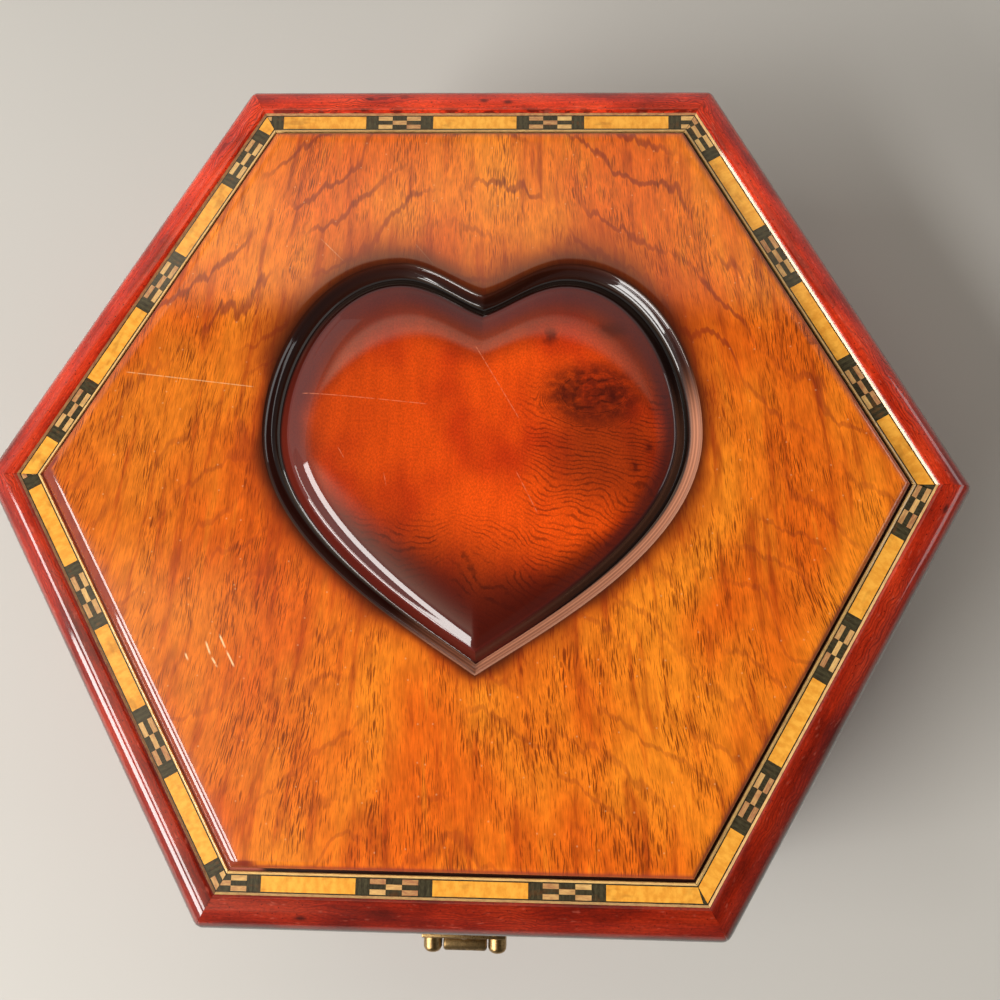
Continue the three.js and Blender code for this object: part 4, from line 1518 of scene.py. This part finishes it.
def build_leaf(name, body, node, direction, knuckles, centre_x):
    low, high = node_box(node)
    face = low[1]
    inner = hinge_z + direction * (KNUCKLE_RADIUS + 0.2)
    outer = high[2] if direction > 0 else low[2]
    front = face + LEAF_THICKNESS
    forms = [block((low[0], face, min(inner, outer)), (high[0], front, max(inner, outer)), LEAF_EASING)]
    for left, right in knuckles:
        left, right = centre_x + left, centre_x + right
        forms.append(bar(KNUCKLE_RADIUS, left, right, hinge_y, hinge_z, KNUCKLE_EASING))
        root = inner + direction * LEAF_THICKNESS
        web_low = (left + WEB_CLEARANCE, face, min(hinge_z, root))
        web_high = (right - WEB_CLEARANCE, front, max(hinge_z, root))
        forms.append(block(web_low, web_high, WEB_EASING))
    for k in range(NAILS_PER_LEAF):
        x = low[0] + (high[0] - low[0]) * (k + 0.5) / NAILS_PER_LEAF
        forms.append(nail(x, front, hinge_z + direction * NAIL_FROM_PIN, 1))
    bore = bar(BORE_RADIUS, low[0] - 1, high[0] + 1, hinge_y, hinge_z, BORE_EASING)
    mesh = join_forms(name, forms, [bore])
    finish_piece(name, mesh, body, [brass_brown], [node])


for hinge in ("hinge_left", "hinge_right"):
    lid_low, lid_high = node_box(hinge + "_lid_leaf")
    centre_x = (lid_low[0] + lid_high[0]) / 2
    half = (lid_high[0] - lid_low[0]) / 2
    knuckle = MIDDLE_KNUCKLE_HALF
    ends = [(-half, -knuckle - 2 * KNUCKLE_GAP), (knuckle + 2 * KNUCKLE_GAP, half)]
    build_leaf(hinge + "_lower", "box", hinge + "_box_leaf", -1, ends, centre_x)
    build_leaf(hinge + "_upper", "lid", hinge + "_lid_leaf", 1, [(-knuckle, knuckle)], centre_x)
    pin = bar(PIN_RADIUS, centre_x - half, centre_x + half, hinge_y, hinge_z, PIN_EASING)
    rod = join_forms(hinge + "_rod", [pin])
    finish_piece(hinge + "_rod", rod, "box", [brass_rubbed], [hinge + "_pin"])
print("hinges at height", round(hinge_z, 2), "mm")

# %% [markdown]
# The box is photographed on a plain pale floor. One soft window of light stands low on the left in
# front, with a narrow strip above it: they draw the thin white lines along every edge that faces
# them. Two large dim panels at the sides fill the shadows. The ceiling in the sky, towards the back,
# gives the upper part of the lid its pale sheen. The sky straight above the camera is kept dark,
# because flat lacquer mirrors it and would lose its deep colour.

# %% Floor, lights and sky
FLOOR_SIZE = 4000.0
FLOOR_GREY, FLOOR_PALE = tint(190, 188, 183), tint(200, 198, 193)
WINDOW_COLOUR = (1.0, 0.98, 0.95)


def build_floor():
    made = Finish("pale_floor", roughness=0.75, specular=0.2)
    cloud = made.noise(made.place(), (0.004, 0.004, 0.004), detail=3.0)
    made.surface("Base Color", made.mix(cloud, FLOOR_GREY, FLOOR_PALE))
    half = FLOOR_SIZE / 2 * MM
    mesh = bpy.data.meshes.new("floor")
    corners = [(x * half, y * half, 0) for x, y in ((-1, -1), (1, -1), (1, 1), (-1, 1))]
    mesh.from_pydata(corners, [], [(0, 1, 2, 3)])
    mesh.materials.append(made.material)
    floor = bpy.data.objects.new("floor", mesh)
    bpy.context.scene.collection.objects.link(floor)

# %% [markdown]
# A lamp is placed by its direction from the lid, as a photographer would walk round the box with it,
# and it always faces the lid.

# %% Lamps


def soft_light(name, azimuth, elevation, distance, width, height, watts, colour=(1, 1, 1)):
    """Area lamp that faces the lid from a direction round it and a height above it, in degrees."""
    a, e = math.radians(azimuth), math.radians(elevation)
    away = Vector((math.cos(e) * math.cos(a), math.cos(e) * math.sin(a), math.sin(e)))
    lamp = bpy.data.lights.new(name, "AREA")
    lamp.shape = "RECTANGLE"
    lamp.size, lamp.size_y = width * MM, height * MM
    lamp.energy = watts
    lamp.color = colour
    made = bpy.data.objects.new(name, lamp)
    bpy.context.scene.collection.objects.link(made)
    made.matrix_world = aim(away * distance + Vector((0, 0, lid_top)), -away, (0, 0, 1))

# %% [markdown]
# The sky is what the lacquer mirrors. An image of a room could stand in for it, but a few smooth
# steps are enough, because the lid mirrors only a ceiling, a wall and the dark between them.

# %% Sky


def build_sky():
    """Dim room: dark overhead, a warm ceiling towards the back and a pale wall on the left."""
    world = bpy.data.worlds.new("sky")
    world.use_nodes = True
    made = Recipe(world.node_tree)
    east, north, up = made.split(made.out("TexCoord", {}, "Generated"))
    steep = made.most(up, 0.05)
    across, along = east / steep, north / steep
    ceiling = made.rise(along, 0.37, 0.42) * made.rise(across, 0.35, -0.4, 0.7, 1.9)
    ceiling = ceiling * made.rise(along, 0.5, 0.62, 1.0, 0.35)
    wall = made.rise(across, -0.12, -0.5, 0.0, 1.3) * made.rise(along, 0.16, 0.06)
    overhead = ceiling + wall + 0.03
    around = made.rise(north - east * 0.5, -0.5, 0.6, 0.1, 0.5)
    light = made.rise(up, 0.8, 0.87)
    light = overhead * light + around * (1 - light)
    warm = made.mix(made.rise(up, 0.6, 0.87), (1, 1, 1, 1), (1.0, 0.84, 0.62, 1))
    background = world.node_tree.nodes["Background"]
    made.feed(background.inputs["Color"], warm)
    made.feed(background.inputs["Strength"], light)
    bpy.context.scene.world = world


build_floor()
build_sky()
soft_light("window", 213, 29, 900, 520, 260, 7.2, WINDOW_COLOUR)
soft_light("window_top", 205, 49, 900, 640, 130, 4.0, WINDOW_COLOUR)
soft_light("left_panel", 150, 40, 1500, 1000, 600, 0.6)
soft_light("right_panel", 10, 22, 1500, 1200, 400, 3.6)
print("lamps", len(bpy.data.lights))
